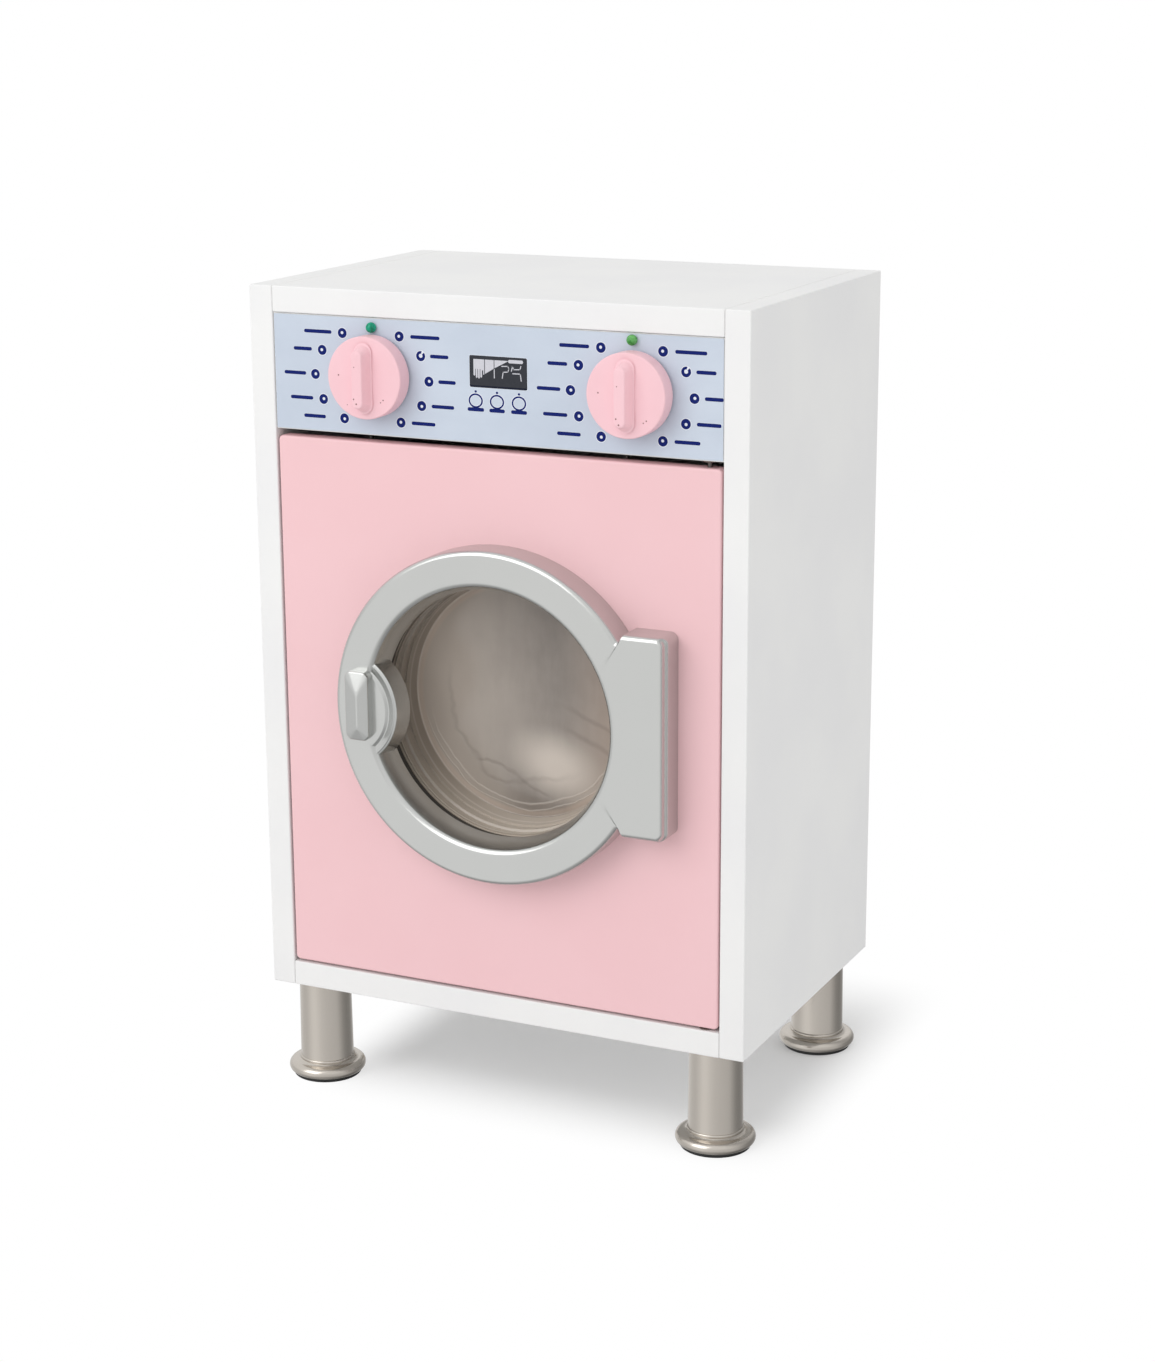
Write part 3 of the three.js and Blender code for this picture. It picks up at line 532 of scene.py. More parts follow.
# %% [markdown]
# ## CAD parts that keep their shape
#
# The boards and the small hardware have the right shape already, but a computer's edge is a
# perfect knife edge, and no painted board has one. Four modifiers soften it without touching the
# CAD mesh: Weld joins the corners, Decimate merges flat triangles into whole faces, Bevel rounds
# the edges and Weighted Normal keeps the large faces flat.


# %% Dress a CAD part
def dress(name, material, edge=0.0):
    """A finish for a CAD part, with its edges softened by so many millimetres."""
    node = nodes_in_frame[name]
    node.data.materials.clear()
    node.data.materials.append(material)
    weld = node.modifiers.new("join corners", "WELD")
    weld.merge_threshold = 0.000002
    if edge > 0:
        flat = node.modifiers.new("merge flat faces", "DECIMATE")
        flat.decimate_type = "DISSOLVE"
        flat.angle_limit = math.radians(0.5)
        bevel = node.modifiers.new("soften edges", "BEVEL")
        bevel.width = edge * MM
        bevel.segments = 3
        bevel.limit_method = "ANGLE"
        bevel.angle_limit = math.radians(40)
        bevel.use_clamp_overlap = False
        bevel.miter_outer = "MITER_ARC"
    smooth = node.modifiers.new("flat faces stay flat", "WEIGHTED_NORMAL")
    smooth.keep_sharp = False
    node.data.shade_smooth()
    return node


board_edge, panel_edge, back_edge, batten_edge = 0.9, 0.2, 0.4, 0.8
for board in ("side_board_left", "side_board_right", "top_board", "bottom_board"):
    dress(board, white_paint, board_edge)
dress("control_board", cream_paint, panel_edge)
dress("back_panel", hardboard, back_edge)
dress("control_label", blue_print)
for side in ("left", "right"):
    dress("control_batten_" + side, bare_wood, batten_edge)
print("boards dressed")

# %% [markdown]
# The hardware is small and mostly hidden, and shows when the door is open. Each finish lists the
# parts that are made of it, so one loop dresses them all.

# %% Dress the hardware
small_edge, stud_edge = 0.15, 0.2
hardware = {
    cream_plastic: ["catch_housing", "click_wheel_left", "click_wheel_right"],
    black_plastic: ["catch_magnet"],
    bush_plastic: ["pivot_bush_upper", "pivot_bush_lower"],
    dark_steel: ["pivot_pin_upper", "pivot_pin_lower", "click_spring_left",
                 "click_spring_right"],
    steel: ["catch_screw_upper", "catch_screw_lower", "strike_plate", "strike_screw_upper",
            "strike_screw_lower", "spindle_left", "spindle_right", "spindle_washer_left",
            "spindle_washer_right", "spindle_nut_left", "spindle_nut_right",
            "porthole_screw_1", "porthole_screw_2", "porthole_screw_3", "porthole_screw_4"],
}
for material, names in hardware.items():
    for name in names:
        dress(name, material, small_edge)
for end in ("front", "rear"):
    for side in ("left", "right"):
        dress("leg_stud_" + end + "_" + side, steel, stud_edge)
print("hardware dressed:", sum(len(names) for names in hardware.values()) + 4)

# %% [markdown]
# ## Helpers for new shapes
#
# Turned things, such as knobs, beads and feet, are a profile spun round an axis. Moulded things are
# loops of points joined into a skin. Both come down to a list of points and a list of faces, and
# one function makes the Blender object, hooks it to the CAD body that it moves with, and hides
# the CAD parts that it stands for.


# %% Make a piece from points and faces
def add_piece(name, mesh, material, body, stands_for=()):
    """The object of a finished mesh, riding on its body; the CAD parts that it stands for are
    hidden.
    """
    mesh.materials.append(material)
    piece = bpy.data.objects.new(name, mesh)
    bpy.context.scene.collection.objects.link(piece)
    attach(piece, body)
    if stands_for:
        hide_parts(*stands_for)
    return piece


def make_piece(name, points, faces, material, body, slot, stands_for=(), sharp=35):
    """A piece from points in the cabinet's millimetres; edges over the sharp angle stay sharp."""
    mesh = bpy.data.meshes.new(name)
    mesh.from_pydata([at(*point) for point in points], [], faces)
    work = bmesh.new()
    work.from_mesh(mesh)
    bmesh.ops.remove_doubles(work, verts=work.verts, dist=0.000001)
    bmesh.ops.recalc_face_normals(work, faces=work.faces)
    work.to_mesh(mesh)
    work.free()
    mesh.shade_smooth()
    mesh.set_sharp_from_angle(angle=math.radians(sharp))
    return add_piece(name, mesh, material, body, stands_for)


def keep_flats(piece):
    """Large flat faces stay flat beside small rounded ones."""
    smooth = piece.modifiers.new("flat faces stay flat", "WEIGHTED_NORMAL")
    smooth.keep_sharp = True
    return piece

# %% [markdown]
# A profile is written as its corners. A corner with a third number gets an arc, whose middle lies
# that many millimetres inside both of its sides. The arc itself always has a radius of 1 mm, also
# where the third number is another one, because slerp turns between directions and these have
# length 1. So it meets its sides smoothly only at 1, stands out a little under 1, and cuts the
# corner over 1.


# %% Profiles and turned shapes
def rounded(corners, steps=6):
    """A profile of (a, b) or (a, b, inset) corners, with a 1 mm arc in place of each inset."""
    line = []
    for i, corner in enumerate(corners):
        if len(corner) == 2:
            line.append(corner)
            continue
        here = Vector(corner[:2])
        inset = corner[2]
        one = (Vector(corners[i - 1][:2]) - here).normalized()
        two = (Vector(corners[(i + 1) % len(corners)][:2]) - here).normalized()
        half = one.angle(two) / 2
        centre = here + (one + two).normalized() * inset / math.sin(half)
        start = here + one * inset / math.tan(half) - centre
        end = here + two * inset / math.tan(half) - centre
        for step in range(steps + 1):
            line.append(tuple(centre + start.slerp(end, step / steps)))
    return line


def turned(profile, segments, centre, axis, closed=False):
    """Points and faces of a profile of (radius, along) spun round the y or z axis."""
    cx, cy, cz = centre
    points, rings, faces = [], [], []
    for radius, along in profile:
        count = 1 if radius < 1e-6 else segments
        rings.append(range(len(points), len(points) + count))
        for i in range(count):
            angle = 2 * math.pi * i / segments
            a, b = radius * math.cos(angle), radius * math.sin(angle)
            points.append((cx + a, cy + along, cz + b) if axis == "y"
                          else (cx + a, cy + b, cz + along))
    pairs = list(zip(rings, rings[1:]))
    if closed:
        pairs.append((rings[-1], rings[0]))
    for low, high in pairs:
        for i in range(segments):
            j = (i + 1) % segments
            if len(low) > 1 and len(high) > 1:
                faces.append((low[i], low[j], high[j], high[i]))
            elif len(high) > 1:
                faces.append((low[0], high[j], high[i]))
            elif len(low) > 1:
                faces.append((low[i], low[j], high[0]))
    return points, faces


def skin(loops, joined=False):
    """Points and faces of a skin over closed loops that have the same number of points.

    Its ends are capped, unless the last loop is joined to the first.
    """
    count = len(loops[0])
    points = [point for loop in loops for point in loop]
    faces = []
    for row in range(len(loops) if joined else len(loops) - 1):
        one, two = row * count, ((row + 1) % len(loops)) * count
        for i in range(count):
            j = (i + 1) % count
            faces.append((one + i, one + j, two + j, two + i))
    if not joined:
        faces.append(tuple(range(count)))
        faces.append(tuple(range(len(points) - count, len(points))))
    return points, faces


def smooth_step(value, low, high):
    share = min(1, max(0, (value - low) / (high - low)))
    return share * share * (3 - 2 * share)


print("a rounded corner has", len(rounded([(0, 0), (10, 0, 2), (10, 10)])), "points")

# %% [markdown]
# ## Legs and feet
#
# Each leg is a piece of steel tube with a turned foot: a thin collar, a hollow curve out to a wide
# flange with a half-round edge, and a black pad that stands on the floor. The hollow curve is what
# catches the light, so the profile has a curve of nine points there and not a straight line.

# %% Legs
leg_height, tube_radius, tube_wall = 70, 17.7, 1.5
flange_radius, flange_round, flange_bottom = 26.6, 4, 2
foot_height, collar_radius, collar_height = 13.3, 18.5, 1.6
spigot_length, pad_radius, seat_gap = 8, 23.2, 0.3
leg_across, leg_deep, cabinet_depth = 147, 22, 232
leg_segments, hollow_steps, hollow_power, hollow_step_in = 96, 8, 2.6, 0.3
metal_inset, spigot_inset, pad_inset, pad_gap = 0.4, 0.8, 0.7, 0.1

tube_profile = rounded([
    (tube_radius - tube_wall, foot_height), (tube_radius, foot_height, metal_inset),
    (tube_radius, leg_height - seat_gap), (tube_radius - tube_wall, leg_height - seat_gap)])
shoulder = flange_bottom + 2 * flange_round
collar_foot = foot_height - seat_gap - collar_height
inner_flange = flange_radius - flange_round
hollow = []
for step in range(hollow_steps + 1):
    share = step / hollow_steps
    radius = inner_flange + (collar_radius + hollow_step_in - inner_flange) * share
    height = shoulder + (collar_foot - shoulder) * share ** hollow_power
    hollow.append((radius, height))
half_round = [
    (inner_flange + flange_round * math.cos(angle),
     flange_bottom + flange_round + flange_round * math.sin(angle))
    for angle in (math.radians(degrees) for degrees in range(-90, 91, 15))]
top = foot_height - seat_gap
spigot_radius = tube_radius - tube_wall - seat_gap
foot_profile = [(0, flange_bottom), *half_round, *hollow[1:], *rounded([
    (collar_radius, collar_foot, metal_inset), (collar_radius, top, metal_inset),
    (spigot_radius, top), (spigot_radius, top + spigot_length, spigot_inset),
    (0, top + spigot_length)])]
pad_profile = rounded([
    (0, 0), (pad_radius, 0, pad_inset), (pad_radius, flange_bottom - pad_gap, metal_inset),
    (0, flange_bottom - pad_gap)], 4)
for end, deep in (("front", leg_deep), ("rear", cabinet_depth - leg_deep)):
    for side, across in (("left", -leg_across), ("right", leg_across)):
        where = end + "_" + side
        foot_centre = (across, deep, -leg_height)
        for part, profile, finish, slot, closed in (
                ("leg_tube_", tube_profile, nickel, "steel", True),
                ("leg_foot_", foot_profile, nickel, "steel", False),
                ("leg_pad_", pad_profile, black_plastic, "black_plastic", False)):
            keep_flats(make_piece(
                "fine_" + part + where, *turned(profile, leg_segments, foot_centre, "z", closed),
                finish, "cabinet", slot, [part + where]))
print("legs made: 4, each of a tube, a foot and a pad")

# %% [markdown]
# ## Beads and dials
#
# The green beads are glass balls on stems. The dials are turned wooden discs, painted pink, with a
# tapered bar across each face to hold them by. The bar is a stack of loops: a small hollow where it
# meets the disc, the slope of its sides, and a rounded edge round its flat top.

# %% Beads
label_face = 0.9
bead_radius, bead_lift, bead_stem_radius, bead_stem_length = 3.4, 1.6, 1.3, 7
bead_places = {"left": (-84.5, 456.6, teal_bead), "right": (97.5, 458.4, leaf_bead)}
bead_steps, bead_segments = 24, 48
bead_centre = label_face - bead_lift
bead_back = label_face - 0.1
flat_angle = math.asin((bead_back - bead_centre) / bead_radius)
ball = []
for step in range(bead_steps + 1):
    angle = -math.pi / 2 + (flat_angle + math.pi / 2) * step / bead_steps
    ball.append((bead_radius * math.cos(angle) if step else 0,
                 bead_centre + bead_radius * math.sin(angle)))
stem_end = label_face + bead_stem_length
bead_profile = [*ball, (bead_stem_radius, bead_back), (bead_stem_radius, stem_end), (0, stem_end)]
for side, (x, z, finish) in bead_places.items():
    make_piece("glass_bead_" + side, *turned(bead_profile, bead_segments, (x, 0, z), "y"), finish,
               "cabinet", "green_gloss", ["indicator_bead_" + side])
print("beads made")

# %% [markdown]
# The dials are painted a little warmer than the door, and small brown pin-holes show in their
# faces. Each hole is a distance from its place on the face, turned into a mask that darkens the
# paint and sinks the bump.


# %% Paint for a dial, with its pin-holes
def dial_paint(name, centre_x, centre_z, pins):
    """Pink paint, a little warmer than the door, with tiny brown pin-holes in the face."""
    material, n, place = new_material(name)
    clouds = n.noise(place, 30, 3)
    ripple = n.noise(place, 160, 2)
    flat = n.add("VectorMath", {"operation": "MULTIPLY"}, {
        "Vector": place, "Vector_001": (1, 0, 1)})
    holes = 0
    for x, z, radius in pins:
        spot = at(centre_x + x, 0, centre_z + z)
        reach = n.add("VectorMath", {"operation": "DISTANCE"}, {
            "Vector": flat, "Vector_001": (spot.x, 0, spot.z)}, "Value")
        holes = holes + (1 - n.steps(reach, radius * 0.6 * MM, radius * 1.2 * MM))
    pink = n.mix(n.steps(clouds, 0.35, 0.65), srgb(246, 202, 209), srgb(248, 205, 212))
    n.surface({
        "Base Color": n.mix(holes * 0.9, pink, srgb(112, 62, 60)),
        "Roughness": 0.4 + clouds * 0.08,
        "Specular IOR Level": 0.22,
        "Normal": n.bump(ripple * 0.3 - holes, 0.3, 0.0003),
    })
    return material


pin_holes = {
    "left": [(-18.2, 1.2, 0.55), (-1.5, 8.2, 0.4), (-2.3, -12.2, 0.55), (-0.4, -15.2, 0.6),
             (13.9, -13.2, 0.5), (12.0, -14.8, 0.45), (-12.4, -17.6, 0.35)],
    "right": [(-18.1, 1.0, 0.55), (-1.4, 7.0, 0.4), (-2.0, -12.8, 0.55), (-0.2, -16.4, 0.6),
              (14.1, -14.4, 0.5), (12.1, -15.8, 0.45)],
}
dial_centres = {"left": (-83.5, 426.0), "right": (98.7, 426.0)}
print("pin-holes:", {side: len(pins) for side, pins in pin_holes.items()})

# %% Dials
knob_radius, knob_thickness, knob_gap, knob_inset = 27.4, 14.4, 0.8, 2.0
knob_back = label_face - knob_gap
knob_face = knob_back - knob_thickness
bore_radius, bore_depth = 3.3, 10.3
grip_foot, grip_top = (5.7, 21.75), (3.65, 18.25)
grip_height, grip_fillet, grip_inset = 8.5, 0.9, 1.1
grip_end_slope = 1.7
grip_arc_points, dial_segments = 32, 160


def bar_loop(half_width, half_length, depth, cx, cz):
    """A loop round a bar with half-round ends that stands upright."""
    loop = []
    for end in (1, -1):
        for i in range(grip_arc_points):
            angle = math.pi * i / (grip_arc_points - 1)
            loop.append((cx + end * half_width * math.cos(angle), depth,
                         cz + end * (half_length - half_width + half_width * math.sin(angle))))
    return loop


# The grip's wall in (inset, height): a small hollow at its foot, the slope, and a rounded top edge.
slope = grip_foot[0] - grip_top[0]
wall = rounded([(-2.5, 0), (0, 0, grip_fillet), (slope, grip_height, grip_inset),
                (slope + 3, grip_height)])
top_inset = wall[-2][0]
top_width = grip_foot[0] - top_inset
for side, (cx, cz) in dial_centres.items():
    finish = dial_paint("dial paint " + side, cx, cz, pin_holes[side])
    disc = rounded([
        (0, knob_face), (knob_radius, knob_face, knob_inset), (knob_radius, knob_back, knob_inset),
        (bore_radius, knob_back), (bore_radius, knob_back - bore_depth),
        (0, knob_back - bore_depth)], 8)
    dial = (finish, "dial_" + side, "pink_paint", ["knob_" + side], 50)
    keep_flats(make_piece("dial_disc_" + side, *turned(disc, dial_segments, (cx, 0, cz), "y"),
                          *dial))
    # The two lowest loops sink the grip into the disc's face.
    loops = [bar_loop(grip_foot[0] - 1, grip_foot[1] - 1, knob_face + 1, cx, cz),
             bar_loop(grip_foot[0] + 1, grip_foot[1] + 1, knob_face + 0.04, cx, cz)]
    for inset, height in wall[1:-1]:
        loops.append(bar_loop(grip_foot[0] - inset, grip_foot[1] - inset * grip_end_slope,
                              knob_face - height, cx, cz))
    # The two last ones close its flat top.
    for share in (0.5, 0.02):
        length = grip_foot[1] - top_inset * grip_end_slope - top_width * (1 - share)
        loops.append(bar_loop(top_width * share, length, knob_face - grip_height, cx, cz))
    keep_flats(make_piece("dial_grip_" + side, *skin(loops), *dial))
print("dials made, grip", grip_height, "mm high")

# %% [markdown]
# ## The silver porthole
#
# The porthole's frame is one moulding: a ring that runs into a block on the right. Its skin is a
# row of loops that all have the same number of points: up the outside wall, over the rounded edge,
# across the flat face, over the lip and down the tapering throat. The block's right side has a
# small step in place of the rounding, so its points follow a second profile.

# %% The moulding's outline
port_x, port_z, door_face = 4.0, 212.6, 0.5
shell_radius, shell_proud, shell_edge = 110.4, 22, 3.6
block_reach, block_half, block_corner = 124.6, 66, 5
notch_depth, notch_width = 4, 5
ring_steps, notch_steps, edge_steps, bend_steps, side_steps = 216, 8, 6, 8, 20


def port_outline(inset, side_inset):
    """Points round the ring and its block; the block's right side has an inset of its own."""
    radius = shell_radius - inset
    half = block_half - inset
    reach = block_reach - side_inset
    corner = block_corner - inset / 2
    meet = math.asin((half - notch_depth) / radius)
    ring = [meet + (2 * math.pi - 2 * meet) * i / ring_steps for i in range(ring_steps + 1)]
    line = [(radius * math.cos(angle), radius * math.sin(angle)) for angle in ring]
    ax, az = line[0]
    notch = []
    for i in range(1, notch_steps + 1):
        t = i / notch_steps
        one, two, three = (1 - t) ** 2, 2 * t * (1 - t), t * t
        notch.append((one * ax + two * (ax + notch_width / 2) + three * (ax + notch_width),
                      one * az + two * (az - notch_depth / 2) + three * half))
    edge = [(ax + notch_width + (reach - corner - ax - notch_width) * i / edge_steps, half)
            for i in range(1, edge_steps)]
    turns = [math.pi / 2 * i / bend_steps for i in range(bend_steps + 1)]
    bend = [(reach - corner + corner * math.sin(angle), half - corner + corner * math.cos(angle))
            for angle in turns]
    upper = notch + edge + bend
    lower = [(x, -z) for x, z in upper]
    side = [(reach, (half - corner) * (i / side_steps - 1)) for i in range(1, 2 * side_steps)]
    return line + lower + side + upper[::-1]


# For each outline point, how much it belongs to the block's right side.
side_shares = [
    smooth_step(x, block_reach - block_corner, block_reach - 0.4) if abs(z) < block_half else 0
    for x, z in port_outline(0, 0)]
print("outline points:", len(side_shares))

# %% [markdown]
# The lip must turn evenly all round, but the outline has a notch where the ring meets the block,
# and there its points lie close together as seen from the ring's middle. So the angles of the
# lip's points are spread again over each corner, and no face of the skin folds over.

# %% The moulding's skin
round_steps = 10
round_profile = []
for i in range(round_steps + 1):
    angle = math.pi / 2 * i / round_steps
    round_profile.append((shell_edge * (1 - math.cos(angle)),
                          -shell_proud + shell_edge * (1 - math.sin(angle))))
step_profile = [(0, -14.6), (0.2, -15.8), (0.7, -16.7), (1.3, -17.3), (1.6, -17.9), (1.7, -18.8),
                (1.8, -20.0), (1.9, -20.9), (2.2, -21.6), (2.8, -21.95), (3.6, -22)]


def port_loop(inset, depth, side_inset, side_depth):
    """The outline at one depth, with an inset and a depth of its own on the block's side."""
    plain = port_outline(inset, inset)
    stepped = port_outline(inset, side_inset)
    loop = []
    for (x, z), (side_x, _), share in zip(plain, stepped, side_shares):
        loop.append((port_x + x + (side_x - x) * share,
                     door_face + depth + (side_depth - depth) * share, port_z + z))
    return loop


lip_radius, lip_round, throat_radius, throat_back = 86, 4.5, 82.8, 2.4
lip_turn, lip_steps = math.radians(64), 8
throat_bell, throat_steps = 2.28, 12
flange_seat = 92.3
back_depth = -0.1
angles = [math.atan2(z, x) for x, z in port_outline(shell_edge, shell_edge)]
ring_points = ring_steps + 1
corner_points = notch_steps + (edge_steps - 1) + (bend_steps + 1)
notch_share = 0.83


def corner_share(i):
    """How far round the lip the i-th point of a corner goes; the notch takes most of the way."""
    if i <= notch_steps:
        return notch_share * i / notch_steps
    return notch_share + (1 - notch_share) * (i - notch_steps) / (corner_points + 1 - notch_steps)


low_near, low_far = angles[ring_points - 1], angles[ring_points + corner_points]
high_near, high_far = angles[0], angles[-corner_points - 1]
for i in range(1, corner_points + 1):
    angles[ring_points + i - 1] = low_near + (low_far - low_near) * corner_share(i)
    angles[len(angles) - i] = high_near + (high_far - high_near) * corner_share(i)


def port_circle(radius, depth, bearings):
    """A circle round the porthole's middle, with one point at each of these bearings."""
    return [(port_x + radius * math.cos(a), door_face + depth, port_z + radius * math.sin(a))
            for a in bearings]


loops = [port_loop(0, back_depth, 0, back_depth)]
loops += [port_loop(*plain, *stepped) for plain, stepped in zip(round_profile, step_profile)]
for i in range(lip_steps + 1):
    angle = lip_turn * i / lip_steps
    bell_radius = lip_radius + lip_round * (1 - math.sin(angle))
    bell_start = -shell_proud + lip_round * (1 - math.cos(angle))
    loops.append(port_circle(bell_radius, bell_start, angles))
for i in range(1, throat_steps + 1):
    share = i / throat_steps
    loops.append(port_circle(
        throat_radius + (bell_radius - throat_radius) * (1 - share) ** throat_bell,
        bell_start + (-throat_back - bell_start) * share, angles))
loops.append(port_circle(flange_seat, -throat_back, angles))
loops.append(port_circle(flange_seat, back_depth, angles))
points, faces = skin(loops, joined=True)
keep_flats(make_piece("porthole_ring", points, faces, silver_plastic, "door", "silver_plastic",
                      ["porthole_shell"], 50))
print("porthole moulding:", len(points), "points")

# %% [markdown]
# ## The door's panel
#
# The door is a painted board with a round hole for the window. Its skin runs from the hole's front
# edge out to the door's edge, round that edge, and back to the hole behind. A hole in a rectangle
# usually makes long crossing triangles, and these show in gloss. Here every point of the hole lies
# on a line from its middle to one point of the outline, so no two faces cross.

# %% The door's panel
door_low, door_high, door_half, door_thick = 18.7, 382.6, 156.7, 12
door_arris, door_corner, hole_radius = 1.5, 3, 86.4
door_bend_steps, door_side_steps, arris_steps = 12, 48, 5
corner_shrink = 0.8


def door_outline(inset):
    """Points round the door, seen from the front, with dense corners."""
    low, high, half = door_low + inset, door_high - inset, door_half - inset
    radius = door_corner - inset * corner_shrink
    middles = [(half - radius, high - radius), (radius - half, high - radius),
               (radius - half, low + radius), (half - radius, low + radius)]
    bends = []
    for quarter, (x, z) in enumerate(middles):
        turns = [math.pi / 2 * (quarter + j / door_bend_steps) for j in range(door_bend_steps + 1)]
        bends.append([(x + radius * math.cos(angle), z + radius * math.sin(angle))
                      for angle in turns])
    line = []
    for bend, next_bend in zip(bends, bends[1:] + bends[:1]):
        (x, z), (next_x, next_z) = bend[-1], next_bend[0]
        shares = [j / door_side_steps for j in range(1, door_side_steps)]
        line += bend + [(x + (next_x - x) * share, z + (next_z - z) * share) for share in shares]
    return line


def door_loop(inset, depth):
    return [(x, door_face + depth, z) for x, z in door_outline(inset)]


door_angles = [math.atan2(z - port_z, x - port_x) for x, z in door_outline(0)]
arris = []
for i in range(arris_steps + 1):
    angle = math.pi / 2 * i / arris_steps
    arris.append((door_arris * (1 - math.sin(angle)), door_arris * (1 - math.cos(angle))))
loops = [port_circle(hole_radius, 0, door_angles)]
loops += [door_loop(inset, depth) for inset, depth in arris]
loops += [door_loop(inset, door_thick - depth) for inset, depth in reversed(arris)]
loops.append(port_circle(hole_radius, door_thick, door_angles))
points, faces = skin(loops, joined=True)
keep_flats(make_piece("pink_door", points, faces, pink_paint, "door", "pink_paint",
                      ["door_panel"], 50))
print("door panel:", len(points), "points")

# %% [markdown]
# ## The latch lug and the half-moon
#
# The latch lug is a small hipped block, like a roof with cut-off corners. Its few corners are
# written down, a convex hull finds the faces between them, and a bevel rounds the edges. The
# half-moon is the part of a larger round boss that shows inside the throat. Its skin follows its
# own circle, and every row stops where it meets the ring.

# %% Latch lug
lug_x, lug_rise, lug_width, lug_height = -90.9, 1, 17.2, 46
lug_proud, lug_wall, lug_cut = 10, 6.5, 3
lug_hip_top, lug_hip_bottom, lug_ridge_shift = 15.5, 10, 1.9
lug_bevel, lug_bevel_steps, lug_sunk = 0.9, 4, 1.2
lug_root = -shell_proud + lug_sunk
eaves = -shell_proud - lug_wall
crest = -shell_proud - lug_proud
lug_corners = []
for sx in (-1, 1):
    for sz in (-1, 1):
        for depth in (lug_root, eaves):
            lug_corners.append((sx * (lug_width / 2 - lug_cut), depth, sz * lug_height / 2))
            lug_corners.append((sx * lug_width / 2, depth, sz * (lug_height / 2 - lug_cut)))
lug_corners.append((lug_ridge_shift, crest, lug_height / 2 - lug_hip_top))
lug_corners.append((lug_ridge_shift, crest, lug_hip_bottom - lug_height / 2))
block = bmesh.new()
for x, y, z in lug_corners:
    block.verts.new(at(port_x + lug_x + x, door_face + y, port_z + lug_rise + z))
bmesh.ops.convex_hull(block, input=block.verts)
bmesh.ops.dissolve_limit(block, angle_limit=math.radians(1), verts=block.verts, edges=block.edges)
bmesh.ops.bevel(block, geom=list(block.edges), offset=lug_bevel * MM, offset_type="OFFSET",
                segments=lug_bevel_steps, profile=0.5, affect="EDGES", clamp_overlap=True)
bmesh.ops.recalc_face_normals(block, faces=block.faces)
lug_mesh = bpy.data.meshes.new("latch_lug")
block.to_mesh(lug_mesh)
block.free()
lug_mesh.shade_smooth()
keep_flats(add_piece("latch_lug", lug_mesh, silver_plastic, "door",
                     ["porthole_shell"]))
print("lug faces:", len(lug_mesh.polygons))

# %% Half-moon
moon_x, moon_drop, moon_radius, moon_back = -105, 3, 41.1, 6
moon_face, moon_root, moon_steps = -0.02, -30, 96
moon_profile = rounded([
    (-12, moon_face), (-9.2, moon_face, 1.5), (-7.7, 1.9, 0.8), (-4.4, 0.15, 2.2), (0, 0.15, 3.1),
    (0, shell_proud - moon_back, 0.5), (-3, shell_proud - moon_back)], 8)
ring_edge = lip_radius + lip_round + 0.4  # a hair outside the lip, so the skins overlap


def ring_crossing(angle, radius):
    """How far from the moon's middle its ray at this angle comes into a circle of the ring."""
    dx, dz = math.cos(angle), math.sin(angle)
    along = -(moon_x * dx - moon_drop * dz)
    gap = moon_x ** 2 + moon_drop ** 2 - along ** 2
    if gap > radius ** 2:
        return math.inf
    return along - math.sqrt(radius ** 2 - gap)


# The moon starts and ends where its circle crosses the ring's, found in thousandths of a radian.
meeting = [angle / 1000 for angle in range(-1570, 1571)
           if ring_crossing(angle / 1000, ring_edge) < moon_radius - 0.02]
first, last = min(meeting), max(meeting)
rows = []
for i in range(moon_steps + 1):
    angle = first + (last - first) * i / moon_steps
    inner = ring_crossing(angle, ring_edge)
    row = []
    for offset, depth in [(moon_root, moon_face), *moon_profile,
                          (moon_root, shell_proud - moon_back)]:
        radius = max(inner, moon_radius + offset)
        row.append((port_x + moon_x + radius * math.cos(angle),
                    door_face - shell_proud + depth,
                    port_z - moon_drop + radius * math.sin(angle)))
    rows.append(row)
make_piece("half_moon", *skin(rows), silver_plastic, "door", "silver_plastic",
           ["porthole_shell"], 50)
print("half-moon from", round(math.degrees(first)), "to", round(math.degrees(last)), "degrees")
